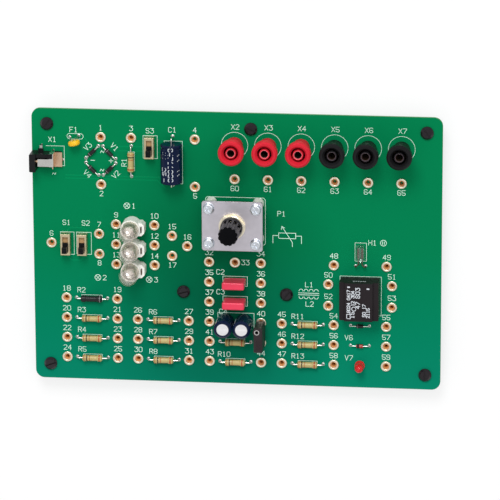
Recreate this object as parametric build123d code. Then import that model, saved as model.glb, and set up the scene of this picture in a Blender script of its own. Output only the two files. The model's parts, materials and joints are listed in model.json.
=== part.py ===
"""Experiment board for basic electricity and electronics, in millimetres.

A green circuit board on seven feet carries numbered 2 mm test sockets, six 4 mm safety sockets, a power
jack, a bridge rectifier, resistors, capacitors, three slide switches, three screw-in bulbs, a
potentiometer on a raised plate, a neon lamp, a small transformer and a bridging plug. +X runs along the
board, +Y across it and +Z up. The origin is the centre of the bounding box's underside, so the feet
stand on z = 0. Every part is placed from the board's lower left corner, on the board's upper face.
"""

import os
from math import atan2, degrees, hypot

from build123d import *

# ---------------------------------------------------------------- board, feet and general clearances
board_length = 233.4
board_width = 160.0
board_thickness = 1.6
board_corner = 5.0
foot_height = 10.0
foot_diameter = 10.0
foot_edge = 0.8
foot_inset = 8.8
foot_screw_diameter = 3.9
foot_screw_grip = 6.0
screw_head_diameter = 7.4
screw_head_height = 2.2
screw_slot = 1.0
screw_crown_diameter = 5.3
screw_first_turn = 20
screw_turn_step = 35
middle_feet = [(125.1, 150.9), (86.2, 54.2), (145.3, 54.2)]

fit = 0.05             # radial gap of a round piece in the hole that holds it
hole_gap = 0.15        # radial gap of a wire in its hole through the board
lug_gap = 0.2          # radial gap of a flat lug's round hole, which its corners need
tail = 1.6             # length that a wire stands out under the board
seat = 0.2             # height of a component body over the board
slide_gap = 0.1        # gap beside a piece that slides
near = 1e-6            # heights closer than this are the same

# ---------------------------------------------------------------- socket columns and rows
column = dict(a=18.6, b=47.9, c=59.7, d=89.1, e=101.0, f=115.8, g=130.6, h=142.5, i=172.3, j=202.3)
first_row = 13.2
row_pitch = 11.84

# ---------------------------------------------------------------- 2 mm test sockets
test_bore = 2.08
test_wall = 0.46
test_ledge = 1.5
test_rim = 0.9
test_flare = 0.91
test_funnel_depth = 1.3
test_length = 6.6
test_rim_round = 0.4

# ---------------------------------------------------------------- 4 mm safety sockets
safety_first_x = 115.8
safety_pitch = 18.92
safety_y = 141.2
safety_count = 6
safety_red = 3
safety_height = 20.0
safety_bore = 4.06
safety_sleeve_wall = 0.47
safety_sleeve_floor = 3.0
safety_sleeve_top = 18.4
safety_base = 9.2
safety_base_height = 1.0
safety_spigot = 2.0
safety_moat = 1.1         # gap round the collar for a plug's shroud
safety_neck_wall = 0.8
safety_head_wall = 3.1
safety_head_depth = 5.0
safety_flare = 2.6
safety_lead_in = 1.1
safety_bevel = 0.9
safety_collar_wall = 0.45
safety_collar_lip = 0.7
safety_pin = 2.4
safety_lead_depth = 1.5
safety_collar_edge = 0.3
safety_test_row = 121.4

# ---------------------------------------------------------------- power jack
jack_y = 130.1
jack_overhang = 0.2
jack_length = 18.2
jack_flange_width = 10.5
jack_flange_depth = 3.5
jack_height = 10.0
jack_axis = 5.2
jack_barrel = 6.4
jack_body_width = 9.0
jack_body_aside = 0.5      # the body's middle, to the side of the pin
jack_bay = 6.0             # room between the rails for a plug's barrel
jack_rail_height = 8.6
jack_low_rail_height = 2.6
jack_floor = 1.4
jack_pin = 2.0
jack_strip = 0.5
jack_lug_width = 2.0
jack_side_lug = (5.5, 138.4)
jack_corner = 0.5
jack_strip_width = 8.4
jack_strip_top = 7.6
jack_foot = 4.3            # length of the floor behind the rails
jack_pin_foot = 1.9
jack_pin_tip = 0.3
jack_pin_taper = 0.4
jack_leaf_width = 4.3
jack_leaf_start = 1.2
jack_leaf_over = 0.8       # leaf beyond the end of the rails
jack_leaf_bridge = 2.4
jack_small_lug = 1.2
jack_strap = 1.6

# ---------------------------------------------------------------- resettable fuse
fuse_centre = (24.35, 144.0)
fuse_pitch = 5.3
fuse_disc_diameter = 6.8
fuse_disc_thickness = 2.9
fuse_lean = 2.0
fuse_wire = 0.6
fuse_turn = 12.0
fuse_lift = 1.2
fuse_round = 1.2
fuse_wire_top = 0.35    # share of the pitch left where the wires meet the disc
fuse_straight = 1.0
fuse_bend = 0.4

# ---------------------------------------------------------------- wires with a body between two bends
lead_bend = 1.0

resistor_pitch = 17.78
resistor_length = 11.4
black_resistor_length = 12.2
resistor_end = 3.9
resistor_waist = 3.3
resistor_cap = 2.5
resistor_wire = 0.75
resistor_face = 0.6        # share of the end's radius that is flat
resistor_shoulder = 0.6
resistor_step = 0.5
resistor_round = 0.4
upright_resistor = (56.9, 130.25)

bridge_centre = (39.4, 130.2)
bridge_inner = 1.3
bridge_outer = 8.5
rectifier_length = 5.2
rectifier_diameter = 2.3
rectifier_wire = 0.8
rectifier_edge = 0.25

small_diode_pitch = 10.7
small_diode_length = 4.0
small_diode_diameter = 2.1
small_diode_wire = 0.55
small_diode_edge = 0.4

axial_centre = (80.6, 131.3)
axial_pitch = 28.4
axial_length = 22.8
axial_diameter = 12.4
axial_groove = 0.5
axial_groove_inset = 2.2
axial_wire = 0.85
axial_edge = 0.7
axial_groove_round = 0.3

# ---------------------------------------------------------------- upright capacitors
film_length = 12.6
film_width = 4.3
film_aside = 0.6         # from the middle of its row of sockets
film_height = 11.4
film_pitch = 10.0
film_wire = 0.7
film_edge = 0.8

can_y = 36.7
can_centre_x = 115.6
can_gap = 0.3
can_diameter = 9.9
can_height = 15.8
can_wall = 0.2
can_lip = 1.5
can_score = 0.15
can_pitch = 5.0
can_wire = 0.7
can_shoulder = 1.0
can_score_length = 5.0

# ---------------------------------------------------------------- potentiometer
pot_centre = (115.9, 97.4)
plate_length = 34.6
plate_width = 29.0
plate_thickness = 1.2
plate_top = 14.0
plate_corner = 1.5
plate_edge = 0.2
pillar_spacing_x = 26.8
pillar_spacing_y = 20.4
pillar_diameter = 6.4
pot_screw = 3.0
pot_screw_head = 5.8
pot_screw_head_height = 2.0
pot_screw_cross = 0.8
pot_screw_turn = 30
pot_can_diameter = 23.5
pot_can_height = 9.0
pot_can_wall = 1.0
track_thickness = 0.8
wiper_thickness = 1.0
bushing_wall = 1.5
bushing_height = 6.6
pot_nut_wall = 2.0
pot_nut_height = 2.4
pot_nut_edge = 0.6
pot_nut_cone = 1.3         # where the bevel's cone starts, outside the flats
pot_nut_turn = 10
pot_washer_ledge = 1.1
pot_washer_height = 0.6
pot_shaft = 6.0
knob_top = 35.4
knob_gap = 1.0
knob_skirt_ledge = 0.7
knob_wall = 0.4
knob_skirt_height = 3.2
knob_flutes = 12
knob_flute = 2.0
knob_flute_out = 0.5       # centre of a flute, outside the crown
knob_bushing_gap = 0.7
knob_recess_depth = 3.4
knob_edge = 0.8
knob_foot = 0.8
knob_step = 0.3
pot_terminal_pitch = 5.0
pot_terminal_y = -15.6
pot_lug_width = 1.4
pot_lug_sheet = 0.6
pot_track_bore = 8.0
pot_pillar_web = 2.0       # solid foot of a pillar under its screw hole
pot_screw_foot = 3.0
pot_screw_round = 0.7
pot_screw_cross_length = 3.5
pot_screw_cross_depth = 1.0
pot_wiper_diameter = 16.9
pot_wiper_cut = 3.5        # where the wiper's far side is cut off straight
pot_shaft_cover = 4.0      # knob over the shaft's end

# ---------------------------------------------------------------- lamp holders and bulbs
lamp_x = 57.0
lamp_middle_y = 79.8
lamp_gap = 1.0
holder_wall = 0.85
holder_height = 9.2
bulb_side_gap = 0.1
holder_floor = 1.6
wing_depth = 2.1
wing_width = 7.6
wing_height = 7.6
bulb_cap_diameter = 9.5
bulb_cap_height = 9.0
bulb_thread_depth = 0.45
bulb_thread_pitch = 1.8
bulb_threads = 3
bulb_thread_start = 2.4
bulb_tip = 1.4
bulb_tip_side = 1.8
bulb_tip_height = 0.8
bulb_cone_height = 1.8
bulb_rim = 0.6
bulb_rim_foot = 1.0
bulb_glass_diameter = 10.9
bulb_top = 24.0
bulb_glass_wall = 0.5
bulb_neck_wall = 0.6
bulb_neck_depth = 1.2
bulb_contact = 0.4
filament_height = 16.5
filament_span = 4.0
filament_wire = 0.4
filament_coil = 0.64
filament_over = 0.3
lamp_socket_gap = 0.2
lamp_socket_middle = (58.7, 81.2)
wing_corner = 1.6
wing_slot = 0.7
wing_slot_width = 3.6
wing_slot_wall = 0.4
lamp_strip = 0.5
lamp_strip_width = 3.2
lamp_strip_rise = 1.2
lamp_floor_disc = 4.0
lamp_pin = 0.9
lamp_pin_reach = 3.0

# ---------------------------------------------------------------- neon lamp
neon_centre = (187.5, 80.4)
neon_length = 11.4
neon_diameter = 6.0
neon_wall = 0.45
neon_tip = 1.2
neon_pitch = 5.6
neon_electrode_gap = 2.2
neon_wire = 0.6
neon_plate = 1.1
neon_pad_drop = 8.0
neon_press = 2.4         # solid glass where the wires are pressed in
neon_shoulder = 0.8
neon_nose = 1.4
neon_nose_drop = 0.2
neon_bend_start = 0.9

# ---------------------------------------------------------------- transformer
transformer_centre = (187.5, 54.6)
transformer_length = 22.4
transformer_body = 16.0
transformer_span = 22.2
transformer_height = 13.5
transformer_ledge = 11.6
transformer_wall = 2.0
transformer_roof = 1.6
core_height = 6.0
core_leg = 4.6
core_yoke = 3.0
winding_gap = 0.2
transformer_pins = 5
transformer_pin_pitch = 3.6
transformer_pin = 0.8
transformer_edge = 0.3
transformer_cheek = 0.6
transformer_pin_depth = 2.4
winding_rise = 1.6

# ---------------------------------------------------------------- indicator light
led_x = 187.3
led_diameter = 5.0
led_flange = 5.8
led_flange_height = 1.0
led_height = 8.6
led_pitch = 2.54
led_wire = 0.55

# ---------------------------------------------------------------- bridging plug
plug_length = 14.4
plug_width = 5.0
plug_height = 15.2
plug_pin_gap = 0.04
plug_pin_length = 6.0
plug_lift = 0.1
plug_boss = 4.5
plug_boss_offset = (-0.7, 4.8)
plug_boss_foot = 5.0
plug_tap = 2.08
plug_tap_wall = 0.45
plug_tap_depth = 8.0
plug_bar = 1.0
plug_bar_height = 4.0
plug_bar_width = 2.4
plug_corner = 0.5
plug_edge = 0.4
plug_tip = 0.5
plug_tip_height = 0.8
plug_groove = 0.3
plug_groove_depth = 0.25
plug_groove_length = 6.0
plug_groove_pitch = 0.8
plug_groove_centre = (0.6, -2.6)
plug_grooves = 5

# ---------------------------------------------------------------- slide switches
switch_centres = [(18.9, 81.1), (28.4, 81.1), (67.6, 139.1)]
switch_width = 5.5
switch_end_gap = 0.25
switch_height = 4.8
switch_sheet = 0.35
switch_base_height = 3.0
switch_window_side = 0.25
switch_window_end = 0.5
switch_plate_width = 4.1
switch_plate_length = 6.6
switch_plate_height = 1.2
switch_knob_width = 2.8
switch_knob_length = 3.6
switch_knob_height = 4.6
switch_travel = 4.6
switch_edge = 0.25
switch_knob_edge = 0.3
switch_rib = 0.35
switch_rib_depth = 0.5
switch_rib_pitch = 0.9
switch_pin_pitch = 3.2
switch_pin = 0.8

# ---------------------------------------------------------------- worked out
test_barrel = test_bore + 2 * test_wall
test_flange = test_barrel + 2 * test_ledge
test_mouth = test_bore + 2 * test_flare
safety_sleeve = safety_bore + 2 * safety_sleeve_wall
safety_collar = safety_sleeve + 2 * (fit + safety_collar_wall)
safety_shell_bore = safety_collar + 2 * safety_moat
safety_neck = safety_shell_bore + 2 * safety_neck_wall
safety_head = safety_shell_bore + 2 * safety_head_wall
jack_floor_end = jack_length - jack_overhang - 2 * jack_strip
jack_rail_end = jack_floor_end - jack_foot
bushing_diameter = pot_shaft + 2 * bushing_wall
pot_nut_flats = bushing_diameter + 2 * pot_nut_wall
pot_washer = pot_nut_flats + 2 * pot_washer_ledge
knob_recess = bushing_diameter + 2 * knob_bushing_gap
knob_crown = knob_recess + 2 * knob_wall
knob_skirt = knob_crown + 2 * knob_skirt_ledge
can_spacing = can_diameter + 2 * (fit + can_wall) + can_gap
bulb_neck = bulb_cap_diameter - 2 * bulb_neck_wall
holder_bore = bulb_cap_diameter + 2 * bulb_side_gap
holder_diameter = holder_bore + 2 * holder_wall
lamp_pitch = holder_diameter + lamp_gap
lamp_y = [lamp_middle_y + lamp_pitch * step for step in (1, 0, -1)]
wing_reach = holder_diameter / 2 + wing_depth
lamp_socket_reach = wing_reach + test_flange / 2 + lamp_socket_gap
plug_pin = test_bore - 2 * plug_pin_gap
switch_length = switch_plate_length + switch_travel + 2 * (switch_end_gap + switch_sheet)
switch_window_width = switch_knob_width + 2 * switch_window_side
switch_window_length = switch_knob_length + switch_travel + 2 * switch_window_end
board_top = foot_height + board_thickness
board_under = -board_thickness
wire_end = board_under - tail
rows = [first_row + row_pitch * n for n in range(6)]
foot_spots = [
    (foot_inset, foot_inset),
    (foot_inset, board_width - foot_inset),
    (board_length - foot_inset, foot_inset),
    (board_length - foot_inset, board_width - foot_inset),
    *middle_feet,
]
on_base = (Align.CENTER, Align.CENTER, Align.MIN)

nodes = {}
board_holes = []       # (x, y, diameter) of each round hole through the board


def on_board(x, y, z=0.0, turn=0.0):
    """Place from the board's lower left corner, z counted from its upper face."""
    across = x - board_length / 2 + jack_overhang / 2
    return Pos(across, y - board_width / 2, board_top + z) * Rot(0, 0, turn)


def rod(diameter, bottom, top):
    """Upright round bar between two heights."""
    return Pos(0, 0, bottom) * Cylinder(diameter / 2, top - bottom, align=on_base)


def block(length, width, bottom, top):
    """Box centred on the Z axis between two heights."""
    return Pos(0, 0, bottom) * Box(length, width, top - bottom, align=on_base)


def turned(*outline):
    """Solid of revolution about Z from (radius, height) corners."""
    return revolve(Plane.XZ * make_face(Polyline(*outline, close=True)), Axis.Z)


def wire(diameter, *points, bend=lead_bend):
    """Round wire along straight runs joined by bends."""
    path = FilletPolyline(*points, radius=bend) if len(points) > 2 else Line(*points)
    return sweep(Plane(path @ 0, z_dir=path % 0) * Circle(diameter / 2), path)


def add(node, *shapes):
    """File each solid of the shapes under a node."""
    for shape in shapes:
        nodes.setdefault(node, []).extend(shape.solids())


def drill(x, y, diameter, gap=hole_gap):
    """Note a hole through the board for a round piece."""
    board_holes.append((x, y, diameter + 2 * gap))


def upright_wire(node, x, y, diameter, top):
    """Straight wire from a component's underside down through the board."""
    drill(x, y, diameter)
    add(node, on_board(x, y) * rod(diameter, wire_end, top))


def axial(body_node, wire_node, body, centre, turn, pitch, length, height, diameter):
    """Body lying along X on two bent wires, turned and set on the board."""
    spot = on_board(*centre, turn=turn)
    add(body_node, spot * Pos(0, 0, height) * body)
    for side in (-1, 1):
        end, foot = side * length / 2, side * pitch / 2
        add(wire_node, spot * wire(diameter, (end, 0, height), (foot, 0, height), (foot, 0, wire_end)))
        pad = Rot(0, 0, turn) * Pos(foot, 0, 0)
        drill(centre[0] + pad.position.X, centre[1] + pad.position.Y, diameter)


# ---------------------------------------------------------------- feet and their screws
def make_feet():
    radius = foot_diameter / 2
    foot = turned(
        (0, -board_top), (radius - foot_edge, -board_top), (radius, foot_edge - board_top),
        (radius, board_under), (0, board_under),
    )
    foot -= rod(foot_screw_diameter + 2 * fit, board_under - foot_screw_grip - fit, board_under)
    head_radius = screw_head_diameter / 2
    screw = turned(
        (0, board_under - foot_screw_grip), (foot_screw_diameter / 2, board_under - foot_screw_grip),
        (foot_screw_diameter / 2, 0), (head_radius, 0), (head_radius, screw_head_height / 2),
        (screw_crown_diameter / 2, screw_head_height), (0, screw_head_height),
    )
    screw -= block(screw_head_diameter, screw_slot, screw_head_height / 2, screw_head_height)
    for number, (x, y) in enumerate(foot_spots):
        drill(x, y, foot_screw_diameter)
        add("board_feet", on_board(x, y) * foot)
        add("foot_screws", on_board(x, y, turn=screw_first_turn + screw_turn_step * number) * screw)


# ---------------------------------------------------------------- 2 mm test sockets
def test_socket_spots():
    """Number and place of each 2 mm socket."""
    c, r = column, rows
    spots = {
        1: (39.5, 144.0), 2: (39.5, 116.3), 3: (56.9, 144.0), 4: (93.2, 144.0), 5: (93.2, 116.3),
        6: (10.4, 81.2), 7: (37.9, 87.1), 8: (37.9, 75.2),
        15: (79.8, 87.1), 16: (88.5, 81.2), 17: (79.8, 75.2),
        33: (c["f"], r[5]), 50: (169.2, 61.05), 51: (205.4, 61.05), 52: (169.2, 48.35), 53: (205.4, 48.35),
    }
    pairs = [(18, "a", "b", 3), (20, "a", "b", 2), (22, "a", "b", 1), (24, "a", "b", 0)]
    pairs += [(26, "c", "d", 2), (28, "c", "d", 1), (30, "c", "d", 0)]
    pairs += [(35, "e", "g", 4), (37, "e", "g", 3), (39, "e", "g", 2), (41, "e", "g", 1), (43, "e", "g", 0)]
    pairs += [(48, "i", "j", 5), (54, "i", "j", 2), (56, "i", "j", 1), (58, "i", "j", 0)]
    for number, left, right, row in pairs:
        spots[number] = (c[left], r[row])
        spots[number + 1] = (c[right], r[row])
    spots[32], spots[34] = (c["e"], r[5]), (c["g"], r[5])
    for step in range(3):
        middle_x, y = lamp_socket_middle[0], lamp_socket_middle[1] + row_pitch * (1 - step)
        spots[9 + 2 * step] = (middle_x - lamp_socket_reach, y)
        spots[10 + 2 * step] = (middle_x + lamp_socket_reach, y)
        spots[45 + step] = (c["h"], r[2 - step])
    for step in range(safety_count):
        spots[60 + step] = (safety_first_x + safety_pitch * step, safety_test_row)
    return dict(sorted(spots.items()))


def make_test_sockets():
    bottom = -test_length
    profile = make_face(Polyline(
        (test_bore / 2, bottom), (test_barrel / 2, bottom), (test_barrel / 2, 0), (test_flange / 2, 0),
        (test_flange / 2, test_rim), (test_mouth / 2, test_rim),
        (test_bore / 2, test_rim - test_funnel_depth),
        close=True,
    ))
    rim = profile.vertices().filter_by(lambda v: abs(v.Y - test_rim) < near)
    profile = fillet(rim, test_rim_round)
    socket = revolve(Plane.XZ * profile, Axis.Z)
    for x, y in test_socket_spots().values():
        drill(x, y, test_barrel, gap=fit)
        add("test_sockets", on_board(x, y) * socket)


# ---------------------------------------------------------------- 4 mm safety sockets
def make_safety_sockets():
    sleeve = turned(
        (0, wire_end), (safety_pin / 2, wire_end), (safety_pin / 2, 0), (safety_base / 2, 0),
        (safety_base / 2, safety_base_height), (safety_shell_bore / 2 - fit, safety_base_height),
        (safety_shell_bore / 2 - fit, safety_base_height + safety_spigot),
        (safety_sleeve / 2, safety_base_height + safety_spigot), (safety_sleeve / 2, safety_sleeve_top),
        (safety_bore / 2, safety_sleeve_top), (safety_bore / 2, safety_sleeve_floor),
        (0, safety_sleeve_floor),
    )
    head_foot = safety_height - safety_head_depth
    shell = turned(
        (safety_shell_bore / 2, safety_base_height), (safety_neck / 2, safety_base_height),
        (safety_neck / 2, head_foot - safety_flare), (safety_head / 2, head_foot),
        (safety_head / 2, safety_height - safety_bevel), (safety_head / 2 - safety_bevel, safety_height),
        (safety_shell_bore / 2 + safety_lead_in, safety_height),
        (safety_shell_bore / 2, safety_height - safety_lead_depth),
    )
    collar_foot = safety_base_height + safety_spigot
    collar_top = safety_sleeve_top + safety_collar_lip
    collar = turned(
        (safety_sleeve / 2 + fit, collar_foot), (safety_collar / 2, collar_foot),
        (safety_collar / 2, collar_top - safety_collar_edge),
        (safety_collar / 2 - safety_collar_edge, collar_top),
        (safety_sleeve / 2 + fit, collar_top),
    )
    for step in range(safety_count):
        x = safety_first_x + safety_pitch * step
        spot = on_board(x, safety_y)
        colour = "red" if step < safety_red else "black"
        drill(x, safety_y, safety_pin)
        add("safety_contacts", spot * sleeve)
        add(f"{colour}_socket_bodies", spot * shell, spot * collar)


# ---------------------------------------------------------------- power jack
def make_jack():
    start = -jack_overhang
    spot = on_board(0, jack_y)

    def bar(x0, x1, y0, y1, z0, z1):
        return Pos((x0 + x1) / 2, (y0 + y1) / 2, z0) * Box(x1 - x0, y1 - y0, z1 - z0, align=on_base)

    near_side = jack_body_aside - jack_body_width / 2
    far_side = jack_body_aside + jack_body_width / 2
    flange_end = start + jack_flange_depth
    housing = bar(start, flange_end, -jack_flange_width / 2, jack_flange_width / 2, 0, jack_height)
    housing = chamfer(housing.edges().filter_by(Axis.Z).sort_by(Axis.X)[:2], jack_corner)
    housing += bar(flange_end, jack_floor_end, near_side, far_side, 0, jack_floor)
    housing += bar(flange_end, jack_rail_end, near_side, -jack_bay / 2, jack_floor, jack_low_rail_height)
    housing += bar(flange_end, jack_rail_end, jack_bay / 2, far_side, jack_floor, jack_rail_height)
    housing -= Pos(start, 0, jack_axis) * Rot(0, 90, 0) * rod(jack_barrel, 0, jack_flange_depth)
    add("jack_housing", spot * housing)

    # The strip stands against the rails with the centre pin, lies back over the floor and ends in a lug.
    strip_low, strip_high = (jack_body_aside + side * jack_strip_width / 2 for side in (-1, 1))
    foot_top, strip_back = jack_floor + jack_strip, jack_rail_end + jack_strip
    lug_half = jack_lug_width / 2
    pin = bar(jack_rail_end, strip_back, strip_low, strip_high, jack_floor, jack_strip_top)
    pin += bar(jack_rail_end, jack_floor_end + jack_strip, strip_low, strip_high, jack_floor, foot_top)
    pin += bar(jack_floor_end, jack_floor_end + jack_strip, -lug_half, lug_half, wire_end, jack_floor)
    pin += Pos(0, 0, jack_axis) * Rot(0, 90, 0) * turned(
        (0, jack_pin_foot), (jack_pin / 2 - jack_pin_tip, jack_pin_foot),
        (jack_pin / 2, jack_pin_foot + jack_pin_taper), (jack_pin / 2, jack_rail_end), (0, jack_rail_end),
    )
    add("jack_centre_pin", spot * pin)
    drill(jack_floor_end + jack_strip / 2, jack_y, jack_lug_width)

    # The leaf lies over the barrel, crosses the tall rail and goes down outside it to its own lug.
    leaf_end, leaf_side = jack_rail_end + jack_leaf_over, jack_leaf_width / 2
    bridge, outside = leaf_end - jack_leaf_bridge, far_side + jack_strip
    leaf_top = jack_rail_height + jack_strip
    low, middle = leaf_top - 2 * jack_strip, leaf_top - jack_strip
    leaf = bar(flange_end + jack_leaf_start, leaf_end, -leaf_side, leaf_side, low, middle)
    leaf += bar(bridge, leaf_end, -leaf_side, outside, jack_rail_height, leaf_top)
    leaf += bar(bridge, leaf_end, -leaf_side, leaf_side, low, leaf_top)
    leaf += bar(bridge, leaf_end, far_side, outside, 0, leaf_top)
    lug_x, lug_side = (bridge + leaf_end) / 2, jack_small_lug / 2
    leaf += bar(lug_x - lug_side, lug_x + lug_side, far_side, outside, wire_end, 0)
    add("jack_leaf_contact", spot * leaf)
    drill(lug_x, jack_y + far_side + jack_strip / 2, jack_small_lug, gap=lug_gap)

    side_x, side_y = jack_side_lug[0], jack_side_lug[1] - jack_y
    strap_side, strap_end = jack_strap / 2, side_y + jack_strip / 2
    strap_top = jack_floor + jack_strip
    strap = bar(side_x - strap_side, side_x + strap_side, far_side, strap_end, jack_floor, strap_top)
    lug_near, lug_far = side_x - lug_side, side_x + lug_side
    strap += bar(lug_near, lug_far, strap_end - jack_strip, strap_end, wire_end, jack_floor)
    add("jack_leaf_contact", spot * strap)
    drill(side_x, jack_side_lug[1], jack_small_lug, gap=lug_gap)


# ---------------------------------------------------------------- resettable fuse
def make_fuse():
    x, y = fuse_centre
    spot = on_board(x, y, turn=fuse_turn)
    disc_height = fuse_lift + fuse_disc_diameter / 2
    disc_y = -fuse_wire / 2 - fuse_disc_thickness / 2 - fuse_lean / 2
    disc = Rot(90, 0, 0) * Cylinder(fuse_disc_diameter / 2, fuse_disc_thickness)
    disc = fillet(disc.edges().filter_by(GeomType.CIRCLE), fuse_round)
    add("fuse_disc", spot * Pos(0, disc_y, disc_height) * disc)
    for side in (-1, 1):
        foot_x = side * fuse_pitch / 2
        top_y = disc_y + fuse_disc_thickness / 2
        top_x = foot_x * fuse_wire_top
        points = [(foot_x, 0, wire_end), (foot_x, 0, fuse_straight), (top_x, top_y + fuse_wire, disc_height)]
        lead = wire(fuse_wire, *points, bend=fuse_bend)
        stub = Pos(top_x, top_y, disc_height) * Rot(-90, 0, 0) * rod(fuse_wire, 0, fuse_wire)
        add("fuse_wires", spot * (lead + stub))
        pad = Rot(0, 0, fuse_turn) * Pos(foot_x, 0, 0)
        drill(x + pad.position.X, y + pad.position.Y, fuse_wire)


# ---------------------------------------------------------------- resistors
def resistor_body(length):
    """Round-ended body with a slimmer waist, along X."""
    half, end, waist = length / 2, resistor_end / 2, resistor_waist / 2
    cap, face = half - resistor_cap, end * resistor_face
    outline = Polyline(
        (0, -half), (face, -half), (end, resistor_shoulder - half), (end, -cap),
        (waist, resistor_step - cap), (waist, cap - resistor_step), (end, cap),
        (end, half - resistor_shoulder), (face, half), (0, half), close=True,
    )
    profile = make_face(outline)
    outside = profile.vertices().filter_by(lambda v: abs(v.Y) < half - near)
    return Rot(0, 90, 0) * revolve(Plane.XZ * fillet(outside, resistor_round), Axis.Z)


def make_resistors():
    c, r = column, rows
    pairs = [("a", "b", 2), ("a", "b", 1), ("a", "b", 0), ("c", "d", 2), ("c", "d", 1), ("c", "d", 0)]
    pairs += [("e", "g", 1), ("e", "g", 0), ("h", "i", 2), ("h", "i", 1), ("h", "i", 0)]
    spots = [(((c[left] + c[right]) / 2, r[row]), 0) for left, right, row in pairs]
    spots.append((upright_resistor, 90))
    height = seat + resistor_end / 2
    body, sizes = resistor_body(resistor_length), (resistor_pitch, resistor_length, height, resistor_wire)
    for centre, turn in spots:
        axial("resistor_bodies", "resistor_wires", body, centre, turn, *sizes)
    body = resistor_body(black_resistor_length)
    sizes = (resistor_pitch, black_resistor_length, height, resistor_wire)
    axial("black_resistor", "resistor_wires", body, ((c["a"] + c["b"]) / 2, r[3]), 0, *sizes)


# ---------------------------------------------------------------- diodes and the indicator light
def make_diodes():
    rectifier = Rot(0, 90, 0) * Cylinder(rectifier_diameter / 2, rectifier_length)
    rectifier = fillet(rectifier.edges().filter_by(GeomType.CIRCLE), rectifier_edge)
    height = seat + rectifier_diameter / 2
    middle_x, middle_y = bridge_centre
    for side_x in (-1, 1):
        for side_y in (-1, 1):
            start = (side_x * bridge_inner, side_y * bridge_outer)
            end = (side_x * bridge_outer, side_y * bridge_inner)
            pitch = hypot(end[0] - start[0], end[1] - start[1])
            turn = degrees(atan2(end[1] - start[1], end[0] - start[0]))
            centre = (middle_x + (start[0] + end[0]) / 2, middle_y + (start[1] + end[1]) / 2)
            sizes = (pitch, rectifier_length, height, rectifier_wire)
            axial("black_diodes", "diode_wires", rectifier, centre, turn, *sizes)

    small = Rot(0, 90, 0) * Cylinder(small_diode_diameter / 2, small_diode_length)
    small = fillet(small.edges().filter_by(GeomType.CIRCLE), small_diode_edge)
    height = seat + small_diode_diameter / 2
    sizes = (small_diode_pitch, small_diode_length, height, small_diode_wire)
    axial("black_diodes", "diode_wires", small, (led_x, rows[2]), 0, *sizes)
    axial("glass_diode", "diode_wires", small, (led_x, rows[1]), 0, *sizes)

    dome = led_diameter / 2
    lens = rod(led_flange, seat, seat + led_flange_height) + rod(led_diameter, seat, led_height - dome)
    lens += Pos(0, 0, led_height - dome) * Sphere(dome)
    add("led_lens", on_board(led_x, rows[0]) * lens)
    for side in (-1, 1):
        upright_wire("diode_wires", led_x + side * led_pitch / 2, rows[0], led_wire, seat)


# ---------------------------------------------------------------- capacitors
def make_capacitors():
    radius, half = axial_diameter / 2, axial_length / 2
    notch = half - axial_groove_inset
    can = Cylinder(radius, axial_length)
    can = fillet(can.edges().filter_by(GeomType.CIRCLE), axial_edge)
    can -= Pos(0, 0, notch) * Torus(radius + axial_groove_round, axial_groove_round + axial_groove)
    axial(
        "axial_capacitor", "capacitor_wires", Rot(0, 90, 0) * can, axial_centre, 90,
        axial_pitch, axial_length, seat + radius, axial_wire,
    )

    film = block(film_length, film_width, seat, film_height)
    film = fillet(film.edges(), film_edge)
    for row in (4, 3):
        x, y = column["f"], rows[row] + film_aside
        add("film_capacitors", on_board(x, y) * film)
        for side in (-1, 1):
            upright_wire("capacitor_wires", x + side * film_pitch / 2, y, film_wire, seat)

    radius = can_diameter / 2
    metal = rod(can_diameter, seat, can_height - can_wall)
    metal = chamfer(metal.edges().filter_by(GeomType.CIRCLE).sort_by(Axis.Z)[-1:], can_shoulder)
    for turn in (0, 60, 120):
        score = block(can_score_length, can_score, can_height - can_wall - can_score, can_height)
        metal -= Rot(0, 0, turn) * score
    inner = radius + fit
    sleeve_radius = inner + can_wall
    roof = can_height - can_wall + fit
    sleeve = turned(
        (inner, seat), (sleeve_radius, seat), (sleeve_radius, can_height - can_shoulder),
        (sleeve_radius - can_shoulder, can_height), (radius - can_lip, can_height),
        (radius - can_lip, roof), (inner - can_shoulder, roof), (inner, roof - can_shoulder),
    )
    for side in (-1, 1):
        x = can_centre_x + side * can_spacing / 2
        add("can_capacitors", on_board(x, can_y) * metal)
        add("can_capacitor_sleeves", on_board(x, can_y) * sleeve)
        for wire_side in (-1, 1):
            upright_wire("capacitor_wires", x + wire_side * can_pitch / 2, can_y, can_wire, seat)


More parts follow.
